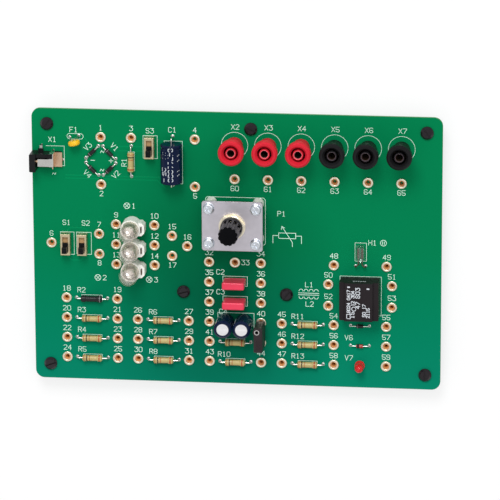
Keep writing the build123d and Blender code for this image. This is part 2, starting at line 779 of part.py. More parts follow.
# ---------------------------------------------------------------- potentiometer
def make_potentiometer():
    x, y = pot_centre
    spot = on_board(x, y)
    plate_bottom = plate_top - plate_thickness
    corners = [(sx * pillar_spacing_x / 2, sy * pillar_spacing_y / 2) for sx in (-1, 1) for sy in (-1, 1)]

    outline = RectangleRounded(plate_length, plate_width, plate_corner) - Circle(bushing_diameter / 2 + fit)
    outline -= [Pos(cx, cy) * Circle(pot_screw / 2 + hole_gap) for cx, cy in corners]
    plate = Pos(0, 0, plate_bottom) * extrude(outline, plate_thickness)
    plate = chamfer(plate.edges().group_by(Axis.Z)[-1].filter_by(GeomType.LINE), plate_edge)
    add("pot_plate", spot * plate)

    pillar = rod(pillar_diameter, 0, plate_bottom) - rod(pot_screw + 2 * fit, pot_pillar_web, plate_bottom)
    top = plate_top + pot_screw_head_height
    screw = rod(pot_screw, pot_screw_foot, plate_top) + rod(pot_screw_head, plate_top, top)
    screw = fillet(screw.edges().filter_by(GeomType.CIRCLE).sort_by(Axis.Z)[-1:], pot_screw_round)
    for turn in (pot_screw_turn, pot_screw_turn + 90):
        slot = block(pot_screw_cross_length, pot_screw_cross, top - pot_screw_cross_depth, top)
        screw -= Rot(0, 0, turn) * slot
    for cx, cy in corners:
        add("pot_pillars", spot * Pos(cx, cy, 0) * pillar)
        add("pot_screws", spot * Pos(cx, cy, 0) * screw)

    # The can hangs under the plate: track on its floor, wiper on the shaft above the track.
    can_bottom = plate_bottom - pot_can_height
    inner_bottom = can_bottom + pot_can_wall
    can = rod(pot_can_diameter, can_bottom, plate_bottom)
    can -= rod(pot_can_diameter - 2 * pot_can_wall, inner_bottom, plate_bottom - pot_can_wall)
    can -= rod(bushing_diameter + 2 * fit, plate_bottom - pot_can_wall, plate_bottom)
    add("pot_can", spot * can)
    track_top = inner_bottom + track_thickness
    track_diameter = pot_can_diameter - 2 * pot_can_wall - 2 * fit
    track = rod(track_diameter, inner_bottom, track_top) - rod(pot_track_bore, inner_bottom, track_top)
    add("pot_track", spot * track)

    bushing_top = plate_top + bushing_height
    bushing = rod(bushing_diameter, plate_bottom - pot_can_wall, bushing_top)
    bushing -= rod(pot_shaft + 2 * fit, plate_bottom - pot_can_wall, bushing_top)
    add("pot_bushing", spot * bushing)

    washer_top = plate_top + pot_washer_height
    nut_top = washer_top + pot_nut_height
    washer = rod(pot_washer, plate_top, washer_top) - rod(bushing_diameter + 2 * fit, plate_top, washer_top)
    hexagon = RegularPolygon(pot_nut_flats / 2, 6, major_radius=False)
    nut = Pos(0, 0, washer_top) * extrude(hexagon, pot_nut_height)
    flats = pot_nut_flats / 2
    corner = flats + pot_nut_cone
    nut &= turned(
        (0, washer_top), (corner, washer_top), (corner, nut_top - pot_nut_edge),
        (flats, nut_top), (0, nut_top),
    )
    nut -= rod(bushing_diameter + 2 * fit, washer_top, nut_top)
    add("pot_nut", spot * washer, spot * Rot(0, 0, pot_nut_turn) * nut)

    # Three lugs leave the can towards -Y and go down through the board.
    lug_z = can_bottom + pot_can_wall / 2
    for step in (-1, 0, 1):
        lug_x = step * pot_terminal_pitch
        nearest = max(abs(lug_x) - pot_lug_width / 2, 0)
        edge = -((pot_can_diameter / 2) ** 2 - nearest ** 2) ** 0.5 - slide_gap
        lug_top = lug_z + pot_lug_sheet / 2
        foot = Pos(lug_x, pot_terminal_y, 0) * block(pot_lug_width, pot_lug_sheet, wire_end, lug_top)
        arm = block(pot_lug_width, edge - pot_terminal_y, lug_top - pot_lug_sheet, lug_top)
        arm = Pos(lug_x, (edge + pot_terminal_y) / 2, 0) * arm
        add("pot_terminals", spot * (foot + arm))
        drill(x + lug_x, y + pot_terminal_y, pot_lug_width, gap=lug_gap)

    knob_bottom = nut_top + knob_gap
    shaft_foot = inner_bottom + fit
    shaft_top = knob_top - pot_shaft_cover
    add("pot_shaft", spot * rod(pot_shaft, shaft_foot, shaft_top))
    wiper_bottom = track_top + slide_gap
    wiper_top = wiper_bottom + wiper_thickness
    wiper = rod(pot_wiper_diameter, wiper_bottom, wiper_top)
    cut = block(pot_wiper_diameter, pot_wiper_diameter, wiper_bottom, wiper_top)
    wiper -= Pos(0, pot_wiper_cut + pot_wiper_diameter / 2, 0) * cut
    wiper -= rod(pot_shaft + 2 * fit, wiper_bottom, wiper_top)
    add("pot_wiper", spot * wiper)

    crown, skirt = knob_crown / 2, knob_skirt / 2
    skirt_top = knob_bottom + knob_skirt_height
    knob = turned(
        (0, knob_bottom), (skirt, knob_bottom), (skirt, knob_bottom + knob_foot),
        (crown + knob_step, skirt_top), (crown, knob_top - knob_edge),
        (crown - knob_edge, knob_top), (0, knob_top),
    )
    for step in range(knob_flutes):
        flute = Pos(crown + knob_flute_out, 0, 0) * rod(knob_flute, skirt_top, knob_top)
        knob -= Rot(0, 0, 360 / knob_flutes * step) * flute
    knob -= rod(knob_recess, knob_bottom, knob_bottom + knob_recess_depth)
    knob -= rod(pot_shaft + 2 * fit, knob_bottom, shaft_top)
    add("pot_knob", spot * knob)


# ---------------------------------------------------------------- lamps
def make_lamps():
    radius = holder_diameter / 2
    holder = rod(holder_diameter, 0, holder_height)
    holder += Pos(wing_reach / 2, 0, 0) * block(wing_reach, wing_width, 0, wing_height)
    wing_edges = holder.edges().filter_by(Axis.Z).sort_by(Axis.X)[-2:]
    holder = chamfer(wing_edges, wing_corner)
    holder -= rod(holder_bore, holder_floor, holder_height)
    slot_x = radius + wing_slot_wall
    holder -= Pos(slot_x, 0, 0) * block(wing_slot, wing_slot_width, holder_floor, wing_height)

    contact_top = holder_floor + bulb_contact
    floor_strip = rod(lamp_floor_disc, holder_floor, contact_top)
    strip = block(lamp_strip, lamp_strip_width, holder_floor, wing_height + lamp_strip_rise)
    side_strip = Pos(slot_x, 0, 0) * strip

    cap_bottom = contact_top + slide_gap
    cap_top = cap_bottom + bulb_cap_height
    crest, root = bulb_cap_diameter / 2, bulb_cap_diameter / 2 - bulb_thread_depth
    ridges = []
    for turn in range(bulb_threads):
        foot = cap_bottom + bulb_thread_start + bulb_thread_pitch * turn
        ridges += [(root, foot), (crest, foot + bulb_thread_pitch / 2)]
    neck = bulb_neck / 2
    cap = turned(
        (0, cap_bottom), (bulb_tip, cap_bottom), (bulb_tip_side, cap_bottom + bulb_tip_height),
        (root, cap_bottom + bulb_cone_height), *ridges,
        (root, cap_top - bulb_rim_foot), (crest, cap_top - bulb_rim), (crest, cap_top),
        (neck + fit, cap_top), (neck + fit, cap_top - bulb_neck_depth), (0, cap_top - bulb_neck_depth),
    )
    glass_radius, wall = bulb_glass_diameter / 2, bulb_glass_wall
    glass_foot = cap_top - bulb_neck_depth
    shoulder = cap_top + fit
    straight_top = bulb_top - glass_radius
    outside = rod(bulb_neck, glass_foot, shoulder) + rod(bulb_glass_diameter, shoulder, straight_top)
    outside += Pos(0, 0, straight_top) * Sphere(glass_radius)
    inside = rod(2 * (glass_radius - wall), shoulder + wall, straight_top)
    inside += Pos(0, 0, straight_top) * Sphere(glass_radius - wall)
    stem_top = shoulder + wall
    glass = outside - inside
    for side in (-1, 1):
        glass -= Pos(side * filament_span / 2, 0, 0) * rod(filament_wire + 2 * fit, glass_foot, stem_top)

    for number, y in enumerate(lamp_y, start=1):
        spot = on_board(lamp_x, y)
        add("lamp_holders", spot * holder)
        add("lamp_contacts", spot * floor_strip, spot * side_strip)
        for pin_x in (-lamp_pin_reach, lamp_pin_reach):
            upright_wire("lamp_contacts", lamp_x + pin_x, y, lamp_pin, 0)
        add(f"bulb_{number}_cap", spot * cap)
        add(f"bulb_{number}_glass", spot * glass)
        span = filament_span / 2
        support = rod(filament_wire, glass_foot, filament_height)
        coil = Rot(0, 90, 0) * rod(filament_coil, -span - filament_over, span + filament_over)
        frame = Pos(0, 0, filament_height + filament_wire / 2) * coil
        for side in (-1, 1):
            frame += Pos(side * span, 0, 0) * support
        add(f"bulb_{number}_filament", spot * frame)


# ---------------------------------------------------------------- neon lamp
def make_neon():
    x, y = neon_centre
    radius, wall, half = neon_diameter / 2, neon_wall, neon_length / 2
    height = seat + radius
    spot = on_board(x, y, height)
    along = Rot(-90, 0, 0)     # turns +Z to +Y
    foot, press = -half, neon_press - half
    crown = half - neon_nose_drop
    shell = turned(
        (0, foot), (radius - neon_shoulder, foot), (radius, foot + 2 * neon_shoulder),
        (radius, half - neon_nose), (radius - neon_nose, crown), (neon_tip / 2, half), (0, half + neon_tip),
    )
    hollow = turned(
        (0, press), (radius - neon_shoulder - wall, press), (radius - wall, press + neon_shoulder),
        (radius - wall, half - neon_nose - neon_nose_drop), (radius - neon_nose - wall, crown - wall),
        (0, half - wall),
    )
    gap = neon_electrode_gap / 2
    glass = along * (shell - hollow)
    for side in (-1, 1):
        channel = along * rod(neon_wire + 2 * fit, foot, press)
        glass -= Pos(side * gap, 0, 0) * channel
    add("neon_glass", spot * glass)
    for side in (-1, 1):
        foot_x = side * neon_pitch / 2
        points = [
            (side * gap, half - 2 * neon_nose, 0), (side * gap, -half - neon_bend_start, 0),
            (foot_x, -neon_pad_drop, 0), (foot_x, -neon_pad_drop, wire_end - height),
        ]
        rise = wire(neon_wire, *points, bend=neon_wire)
        plate = along * rod(neon_plate, press + neon_shoulder, half - 2 * neon_nose + neon_wire / 2)
        add("neon_electrodes", spot * (rise + Pos(side * gap, 0, 0) * plate))
        drill(x + side * neon_pitch / 2, y - neon_pad_drop, neon_wire)


# ---------------------------------------------------------------- transformer
def make_transformer():
    x, y = transformer_centre
    spot = on_board(x, y)
    case = block(transformer_body, transformer_length, 0, transformer_height)
    case += block(transformer_span, transformer_length, 0, transformer_ledge)
    case = chamfer(case.edges().filter_by(Axis.Y).group_by(Axis.Z)[-1], transformer_edge)
    pocket_x = transformer_body - 2 * transformer_cheek
    pocket_y = transformer_length - 2 * transformer_wall
    pocket_top = transformer_height - transformer_roof
    case -= block(pocket_x, pocket_y, 0, pocket_top)
    core_bottom = (pocket_top - core_height) / 2
    core_top = core_bottom + core_height
    core_x, core_y = pocket_x - 2 * winding_gap, pocket_y - 2 * winding_gap
    window_x = (core_x - core_leg) / 2 - core_leg / 2
    window_y = core_y - 2 * core_yoke
    core = block(core_x, core_y, core_bottom, core_top)
    for side in (-1, 1):
        window = block(window_x, window_y, core_bottom, core_top)
        core -= Pos(side * (core_leg + window_x) / 2, 0, 0) * window
    add("transformer_core", spot * core)
    coil_x = core_leg + 2 * window_x - 2 * winding_gap
    coil = block(coil_x, window_y - 2 * winding_gap, core_bottom - winding_rise, core_top + winding_rise)
    coil -= block(core_leg + 2 * winding_gap, window_y, core_bottom - winding_gap, core_top + winding_gap)
    add("transformer_windings", spot * coil)
    row_y = (transformer_length - transformer_wall) / 2
    for side in (-1, 1):
        for step in range(transformer_pins):
            pin_x = (step - (transformer_pins - 1) / 2) * transformer_pin_pitch
            case -= Pos(pin_x, side * row_y, 0) * rod(transformer_pin + 2 * fit, 0, transformer_pin_depth)
            pin_y = y + side * row_y
            upright_wire("component_pins", x + pin_x, pin_y, transformer_pin, transformer_pin_depth)
    add("transformer_case", spot * case)


# ---------------------------------------------------------------- bridging plug
def make_plug():
    x, y = column["g"], (rows[1] + rows[2]) / 2
    spot = on_board(x, y)
    foot = test_rim + plug_lift
    top = foot + plug_height
    body = block(plug_width, plug_length, foot, top)
    body = chamfer(body.edges().filter_by(Axis.Z), plug_corner)
    body = chamfer(body.faces().sort_by(Axis.Z)[-1].edges(), plug_edge)
    boss_x, boss_y = plug_boss_offset
    body += Pos(boss_x, boss_y, 0) * rod(plug_boss, plug_boss_foot, top)
    tap = Pos(boss_x, boss_y, 0)
    tap_outer = plug_tap + 2 * plug_tap_wall
    body -= tap * rod(tap_outer + 2 * fit, top - plug_tap_depth, top)
    for step in range(plug_grooves):
        aside = (step - (plug_grooves - 1) / 2) * plug_groove_pitch
        groove = block(plug_groove, plug_groove_length, top - plug_groove_depth, top)
        body -= Pos(*plug_groove_centre, 0) * Pos(aside, 0, 0) * groove
    bar_top = foot + plug_bar_height
    bar_length = row_pitch + plug_pin
    bar = block(plug_bar_width, bar_length, bar_top - plug_bar, bar_top)
    room = block(plug_bar_width + 2 * fit, bar_length + 2 * fit, bar_top - plug_bar - fit, bar_top + fit)
    body -= room
    pin_end = foot - plug_pin_length
    for side in (-1, 1):
        body -= Pos(0, side * row_pitch / 2, 0) * rod(plug_pin + 2 * fit, foot, bar_top - plug_bar)
        pin = turned(
            (0, pin_end), (plug_tip, pin_end), (plug_pin / 2, pin_end + plug_tip_height),
            (plug_pin / 2, bar_top - plug_bar), (0, bar_top - plug_bar),
        )
        bar += Pos(0, side * row_pitch / 2, 0) * pin
    add("plug_body", spot * body)
    ring = rod(tap_outer, top - plug_tap_depth, top) - rod(plug_tap, top - plug_tap_depth, top)
    add("plug_pins", spot * bar, spot * tap * ring)


# ---------------------------------------------------------------- slide switches
def make_switches():
    inner_width = switch_width - 2 * switch_sheet
    inner_length = switch_length - 2 * switch_sheet
    roof = switch_height - switch_sheet
    frame = block(switch_width, switch_length, 0, switch_height)
    frame = fillet(frame.edges().group_by(Axis.Z)[-1], switch_edge)
    frame -= block(inner_width, inner_length, 0, roof)
    frame -= block(switch_window_width, switch_window_length, roof, switch_height)
    base = block(inner_width - 2 * fit, inner_length - 2 * fit, seat, switch_base_height)
    plate_foot = switch_base_height + fit
    plate_top_z = plate_foot + switch_plate_height
    knob_top_z = switch_height + switch_knob_height
    slider = block(switch_plate_width, switch_plate_length, plate_foot, plate_top_z)
    knob = block(switch_knob_width, switch_knob_length, plate_top_z, knob_top_z)
    knob = chamfer(knob.edges().group_by(Axis.Z)[-1], switch_knob_edge)
    for step in (-1, 0, 1):
        rib = block(switch_knob_width, switch_rib, knob_top_z - switch_rib_depth, knob_top_z)
        knob -= Pos(0, step * switch_rib_pitch, 0) * rib
    slider += knob
    for number, (x, y) in enumerate(switch_centres, start=1):
        spot = on_board(x, y)
        add("switch_frames", spot * frame)
        add("switch_bases", spot * base)
        add(f"switch_slider_{number}", spot * Pos(0, -switch_travel / 2, 0) * slider)
        for step in (-1, 0, 1):
            upright_wire("component_pins", x, y + step * switch_pin_pitch, switch_pin, seat)


# ---------------------------------------------------------------- the board itself
def make_board():
    outline = RectangleRounded(board_length, board_width, board_corner)
    corner_x, corner_y = board_length / 2, board_width / 2
    outline -= [Pos(x - corner_x, y - corner_y) * Circle(diameter / 2) for x, y, diameter in board_holes]
    board = extrude(outline, board_thickness)
    add("circuit_board", on_board(corner_x, corner_y, board_under) * board)


make_feet()
make_test_sockets()
make_safety_sockets()
make_jack()
make_fuse()
make_resistors()
make_diodes()
make_capacitors()
make_potentiometer()
make_lamps()
make_neon()
make_transformer()
make_plug()
make_switches()
make_board()

os.makedirs("parts", exist_ok=True)
for node, solids in nodes.items():
    shape = Compound(solids)
    shape.label = node
    export_step(shape, f"parts/{node}.step")
print(len(nodes), "nodes,", sum(len(solids) for solids in nodes.values()), "solids")
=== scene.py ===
import json
import math

import bmesh
import bpy
from mathutils import Matrix, Vector


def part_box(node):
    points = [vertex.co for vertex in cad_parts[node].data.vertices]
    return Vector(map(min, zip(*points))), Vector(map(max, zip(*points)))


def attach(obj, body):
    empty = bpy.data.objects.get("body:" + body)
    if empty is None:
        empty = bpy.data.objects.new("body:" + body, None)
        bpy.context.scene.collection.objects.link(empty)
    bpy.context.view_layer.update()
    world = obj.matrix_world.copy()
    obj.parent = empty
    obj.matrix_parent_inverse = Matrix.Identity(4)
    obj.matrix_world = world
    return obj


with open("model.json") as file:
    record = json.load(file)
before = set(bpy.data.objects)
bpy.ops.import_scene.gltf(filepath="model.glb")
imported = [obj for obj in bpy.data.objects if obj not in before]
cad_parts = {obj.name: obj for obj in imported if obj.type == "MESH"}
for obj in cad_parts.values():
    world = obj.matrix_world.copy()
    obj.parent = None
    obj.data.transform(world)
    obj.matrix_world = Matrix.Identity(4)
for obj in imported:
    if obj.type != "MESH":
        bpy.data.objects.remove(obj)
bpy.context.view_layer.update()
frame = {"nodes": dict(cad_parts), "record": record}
nodes = frame["nodes"]
mm = 0.001

boardLow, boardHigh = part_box("circuit_board")
boardTop = boardHigh.z
boardUnder = boardLow.z
print("frame loaded:", len(nodes), "nodes")


# materials: each starts from one small helper and adds its own nodes

# a shader socket's name is written with underscores: Specular_IOR_Level
def newMaterial(name, colour, roughness, metallic=0.0, **sockets):
    material = bpy.data.materials.new(name)
    material.use_nodes = True
    shader = material.node_tree.nodes["Principled BSDF"]
    shader.inputs["Base Color"].default_value = (*colour, 1)
    shader.inputs["Roughness"].default_value = roughness
    shader.inputs["Metallic"].default_value = metallic
    for socket, value in sockets.items():
        shader.inputs[socket.replace("_", " ")].default_value = value
    return material, shader


def addNode(material, kind, **inputs):
    node = material.node_tree.nodes.new(kind)
    for name, value in inputs.items():
        node.inputs[name].default_value = value
    return node


def operationOf(material, kind, operation):
    node = material.node_tree.nodes.new(kind)
    node.operation = operation
    return node


def noiseOf(material, scale, detail=3.0):
    tree = material.node_tree
    place = tree.nodes.new("ShaderNodeTexCoord")
    noise = addNode(material, "ShaderNodeTexNoise", Scale=scale, Detail=detail)
    tree.links.new(place.outputs["Object"], noise.inputs["Vector"])
    return noise


def rampOf(material, source, stops):
    ramp = material.node_tree.nodes.new("ShaderNodeValToRGB")
    points = ramp.color_ramp.elements
    points[0].position, points[0].color = stops[0][0], (*stops[0][1], 1)
    points[1].position, points[1].color = stops[-1][0], (*stops[-1][1], 1)
    for position, colour in stops[1:-1]:
        points.new(position).color = (*colour, 1)
    material.node_tree.links.new(source, ramp.inputs["Fac"])
    return ramp


# colour that drifts a little, roughness that varies, and a fine bump
def finish(material, shader, low, high, scale, rough, bump, depth=0.0001):
    drift = {"lowStop": 0.3, "highStop": 0.7, "timesFiner": 6}
    links = material.node_tree.links
    noise = noiseOf(material, scale)
    ramp = rampOf(material, noise.outputs["Fac"], [(drift["lowStop"], low), (drift["highStop"], high)])
    links.new(ramp.outputs["Color"], shader.inputs["Base Color"])
    spread = material.node_tree.nodes.new("ShaderNodeMapRange")
    spread.inputs["To Min"].default_value, spread.inputs["To Max"].default_value = rough
    links.new(noise.outputs["Fac"], spread.inputs["Value"])
    links.new(spread.outputs["Result"], shader.inputs["Roughness"])
    fine = noiseOf(material, scale * drift["timesFiner"])
    relief = addNode(material, "ShaderNodeBump", Strength=bump, Distance=depth)
    links.new(fine.outputs["Fac"], relief.inputs["Height"])
    links.new(relief.outputs["Normal"], shader.inputs["Normal"])
    return material


def moulded(name, colour, rough, shine=0.3, ior=1.5):
    skin = {"spread": 0.08, "lift": 0.002, "scale": 60, "bump": 0.12}
    material, shader = newMaterial(name, colour, rough[0], IOR=ior, Specular_IOR_Level=shine)
    low = tuple(c * (1 - skin["spread"]) for c in colour)
    high = tuple(min(1, c * (1 + skin["spread"]) + skin["lift"]) for c in colour)
    return finish(material, shader, low, high, skin["scale"], rough, skin["bump"])


def metal(name, colour, rough, spread=0.06, scale=150):
    bump = 0.08
    material, shader = newMaterial(name, colour, rough[0], 1.0)
    low = tuple(c * (1 - spread) for c in colour)
    return finish(material, shader, low, colour, scale, rough, bump)


glassRipple = {"scale": 200, "depth": 0.00005, "bump": 0.02}


# partly clear resin; milk is the share that isn't clear
def lensResin(name, tint, rough, ior, milk):
    shade = 0.95
    material, shader = newMaterial(name, tint, rough, IOR=ior, Transmission_Weight=1 - milk)
    low = tuple(c * shade for c in tint)
    return finish(material, shader, low, tint, glassRipple["scale"], (rough, rough * 2),
                  glassRipple["bump"], glassRipple["depth"])


# thin glass: most light goes straight through, and haze is each face's share of clean reflection
def thinGlass(name, tint, haze, rough=0.03):
    shade = 0.93
    material, shader = newMaterial(name, tint, rough, 1.0, Alpha=haze)
    low = tuple(c * shade for c in tint)
    return finish(material, shader, low, tint, glassRipple["scale"], (rough, rough * 2),
                  glassRipple["bump"], glassRipple["depth"])


# solder mask: emerald with a fine weave; painted light makes it lighter and bluer towards the near side, and
# painted shade darkens its middle; the cut edges are bare laminate
def boardMask(name, lift=1.0):
    mask = {
        "colour": (0.0, 0.19, 0.075), "roughness": 0.42, "shine": 0.012, "edge": (0.13, 0.31, 0.15, 1),
        "paintedLightStops": [(0.0, (0.001, 0.184, 0.064)), (0.5, (0.001, 0.184, 0.07)),
                   (0.8, (0.001, 0.192, 0.1)), (1.0, (0.002, 0.2, 0.122))],
        "halfWidth": 0.085, "detail": 2.0, "cloudScale": 9, "cloud": (0.93, 1.07),
        "shadeStretch": (13, 10, 0), "shadeShift": (0.16, 0.3, 0), "paintedShade": (0.45, 1.04),
        "weaveScale": 1400, "weaveBump": 0.06, "weaveDepth": 0.00005,
    }
    material, shader = newMaterial(name, mask["colour"], mask["roughness"], Specular_IOR_Level=mask["shine"])
    tree = material.node_tree
    place = tree.nodes.new("ShaderNodeTexCoord")

    # painted light from the far side to the near one: lighter and bluer towards the near side
    split = tree.nodes.new("ShaderNodeSeparateXYZ")
    tree.links.new(place.outputs["Object"], split.inputs["Vector"])
    across = addNode(material, "ShaderNodeMapRange",
                     **{"From Min": mask["halfWidth"], "From Max": -mask["halfWidth"]})
    tree.links.new(split.outputs["Y"], across.inputs["Value"])
    ramp = rampOf(material, across.outputs["Result"],
                  [(stop, tuple(c * lift for c in shade)) for stop, shade in mask["paintedLightStops"]])

    # soft clouds of random tone, and painted shade that darkens the middle, multiply them
    patch = noiseOf(material, mask["cloudScale"], mask["detail"])
    cloud = addNode(material, "ShaderNodeMapRange",
                    **{"To Min": mask["cloud"][0], "To Max": mask["cloud"][1]})
    tree.links.new(patch.outputs["Fac"], cloud.inputs["Value"])
    # painted shade: darkest near the middle of the board, and lighter towards its edges
    shadeStretch = operationOf(material, "ShaderNodeVectorMath", "MULTIPLY_ADD")
    shadeStretch.inputs[1].default_value = mask["shadeStretch"]
    shadeStretch.inputs[2].default_value = mask["shadeShift"]
    tree.links.new(place.outputs["Object"], shadeStretch.inputs[0])
    reach = operationOf(material, "ShaderNodeVectorMath", "LENGTH")
    tree.links.new(shadeStretch.outputs["Vector"], reach.inputs[0])
    paintedShade = addNode(material, "ShaderNodeMapRange",
                   **{"To Min": mask["paintedShade"][0], "To Max": mask["paintedShade"][1]})
    tree.links.new(reach.outputs["Value"], paintedShade.inputs["Value"])
    both = operationOf(material, "ShaderNodeMath", "MULTIPLY")
    tree.links.new(cloud.outputs["Result"], both.inputs[0])
    tree.links.new(paintedShade.outputs["Result"], both.inputs[1])
    tone = operationOf(material, "ShaderNodeVectorMath", "SCALE")
    tree.links.new(ramp.outputs["Color"], tone.inputs[0])
    tree.links.new(both.outputs["Value"], tone.inputs["Scale"])

    # faces that stand upright show the laminate
    facing = tree.nodes.new("ShaderNodeNewGeometry")
    upright = tree.nodes.new("ShaderNodeSeparateXYZ")
    tree.links.new(facing.outputs["True Normal"], upright.inputs["Vector"])
    flat = operationOf(material, "ShaderNodeMath", "ABSOLUTE")
    tree.links.new(upright.outputs["Z"], flat.inputs[0])
    edge = tree.nodes.new("ShaderNodeMix")
    edge.data_type = "RGBA"
    edge.inputs["A"].default_value = mask["edge"]
    tree.links.new(flat.outputs["Value"], edge.inputs["Factor"])
    tree.links.new(tone.outputs["Vector"], edge.inputs["B"])
    tree.links.new(edge.outputs["Result"], shader.inputs["Base Color"])

    weave = noiseOf(material, mask["weaveScale"], mask["detail"])
    relief = addNode(material, "ShaderNodeBump", Strength=mask["weaveBump"], Distance=mask["weaveDepth"])
    tree.links.new(weave.outputs["Fac"], relief.inputs["Height"])
    tree.links.new(relief.outputs["Normal"], shader.inputs["Normal"])
    return material


finishes = {
    "greenMask": boardMask("greenMask"),
    "trackMask": boardMask("trackMask", 1.2),
    "tinnedRim": metal("tinnedRim", (0.86, 0.78, 0.62), (0.3, 0.42)),
    "funnelResin": moulded("funnelResin", (0.6, 0.28, 0.11), rough=(0.35, 0.5), shine=0.25),
    # the bore's sheet is lighter than the funnel: painted light for the lit wall of the bore
    "borePaintedLight": moulded("borePaintedLight", (0.72, 0.34, 0.1), rough=(0.5, 0.65), shine=0.1),
    # dark brass for the lamp contacts and neon electrodes; on the safety sockets' sleeves it is painted shade
    "darkBrassAndShade": metal("darkBrassAndShade", (0.14, 0.09, 0.06), (0.45, 0.6)),
    "paleGold": metal("paleGold", (0.88, 0.81, 0.66), (0.34, 0.46)),
    "blackNylon": moulded("blackNylon", (0.008, 0.005, 0.008), rough=(0.14, 0.24), shine=0.4),
    "plugNylon": moulded("plugNylon", (0.02, 0.012, 0.014), rough=(0.3, 0.42), shine=0.3),
    "footRubber": moulded("footRubber", (0.02, 0.02, 0.02), rough=(0.7, 0.85)),
    "redShell": moulded("redShell", (0.6, 0.014, 0.03), rough=(0.34, 0.46), shine=0.16),
    # each lip is a lighter copy of its shell's colour: a painted highlight
    "redLipHighlight": moulded("redLipHighlight", (0.8, 0.14, 0.17), rough=(0.3, 0.4), shine=0.25),
    "blackShell": moulded("blackShell", (0.008, 0.008, 0.009), rough=(0.24, 0.36), shine=0.4, ior=1.25),
    "blackLipHighlight": moulded("blackLipHighlight", (0.07, 0.05, 0.06), rough=(0.25, 0.35), shine=0.2),
    "brightWire": metal("brightWire", (0.84, 0.82, 0.78), (0.12, 0.24)),
    "solder": metal("solder", (0.56, 0.55, 0.54), (0.3, 0.42), spread=0.14, scale=700),
    "steel": metal("steel", (0.72, 0.71, 0.68), (0.2, 0.32)),
    "screwSteel": metal("screwSteel", (0.8, 0.84, 0.9), (0.22, 0.34)),
    "frameSteel": metal("frameSteel", (0.66, 0.55, 0.36), (0.3, 0.44)),
    "bronze": metal("bronze", (0.72, 0.5, 0.34), (0.26, 0.4)),
    "tungsten": metal("tungsten", (0.4, 0.33, 0.3), (0.3, 0.5)),
    "amberResin": moulded("amberResin", (0.84, 0.47, 0.012), rough=(0.15, 0.25), shine=0.4),
    "tanLacquer": moulded("tanLacquer", (0.47, 0.38, 0.15), rough=(0.24, 0.36), shine=0.35),
    "bandDark": moulded("bandDark", (0.03, 0.02, 0.014), rough=(0.25, 0.36)),
    "bandRed": moulded("bandRed", (0.4, 0.09, 0.03), rough=(0.25, 0.36)),
    "bandGold": moulded("bandGold", (0.4, 0.2, 0.07), rough=(0.25, 0.36)),
    "bandPale": moulded("bandPale", (0.16, 0.15, 0.15), rough=(0.3, 0.42)),
    "blackLacquer": moulded("blackLacquer", (0.014, 0.013, 0.014), rough=(0.22, 0.34), shine=0.2),
    "blackEpoxy": moulded("blackEpoxy", (0.016, 0.012, 0.014), rough=(0.36, 0.5), shine=0.4, ior=1.25),
    "glossEpoxy": moulded("glossEpoxy", (0.012, 0.011, 0.013), rough=(0.16, 0.26), shine=0.3),
    "redGlass": moulded("redGlass", (0.3, 0.02, 0.012), rough=(0.08, 0.16), shine=0.5),
    "navySleeve": moulded("navySleeve", (0.002, 0.008, 0.034), rough=(0.12, 0.22), shine=0.16),
    "brightAluminium": metal("brightAluminium", (0.96, 0.95, 0.97), (0.3, 0.42)),
    "plateAluminium": metal("plateAluminium", (0.6, 0.57, 0.62), (0.36, 0.5), scale=300),
    "redResin": moulded("redResin", (0.74, 0.04, 0.09), rough=(0.14, 0.24), shine=0.4),
    "whiteNylon": moulded("whiteNylon", (0.9, 0.89, 0.84), rough=(0.3, 0.42)),
    # pale and bright, so that it stands for the bulbs' bright centres as well: a painted highlight
    "cementAndHighlight": moulded("cementAndHighlight", (0.95, 0.84, 0.76), rough=(0.12, 0.2), shine=0.7),
    "knobPlastic": moulded("knobPlastic", (0.002, 0.002, 0.003), rough=(0.16, 0.26), shine=0.16, ior=1.25),
    "brownLaminate": moulded("brownLaminate", (0.12, 0.05, 0.02), rough=(0.5, 0.6)),
    "ferrite": moulded("ferrite", (0.05, 0.05, 0.052), rough=(0.5, 0.65)),
    "copperWire": metal("copperWire", (0.8, 0.35, 0.14), (0.2, 0.35)),
    "redLens": lensResin("redLens", (0.86, 0.012, 0.014), rough=0.04, ior=1.5, milk=0.6),
    "tanPhenolic": moulded("tanPhenolic", (0.48, 0.29, 0.13), rough=(0.4, 0.55)),
    "clearGlass": thinGlass("clearGlass", (0.8, 0.93, 0.88), 0.07),
    "lampGlass": thinGlass("lampGlass", (0.98, 0.93, 0.87), 0.17, rough=0.06),
    "printWhite": moulded("printWhite", (0.68, 0.9, 0.78), rough=(0.5, 0.6)),
    "printPale": moulded("printPale", (0.62, 0.66, 0.7), rough=(0.45, 0.55)),
}
print("materials made:", len(finishes))

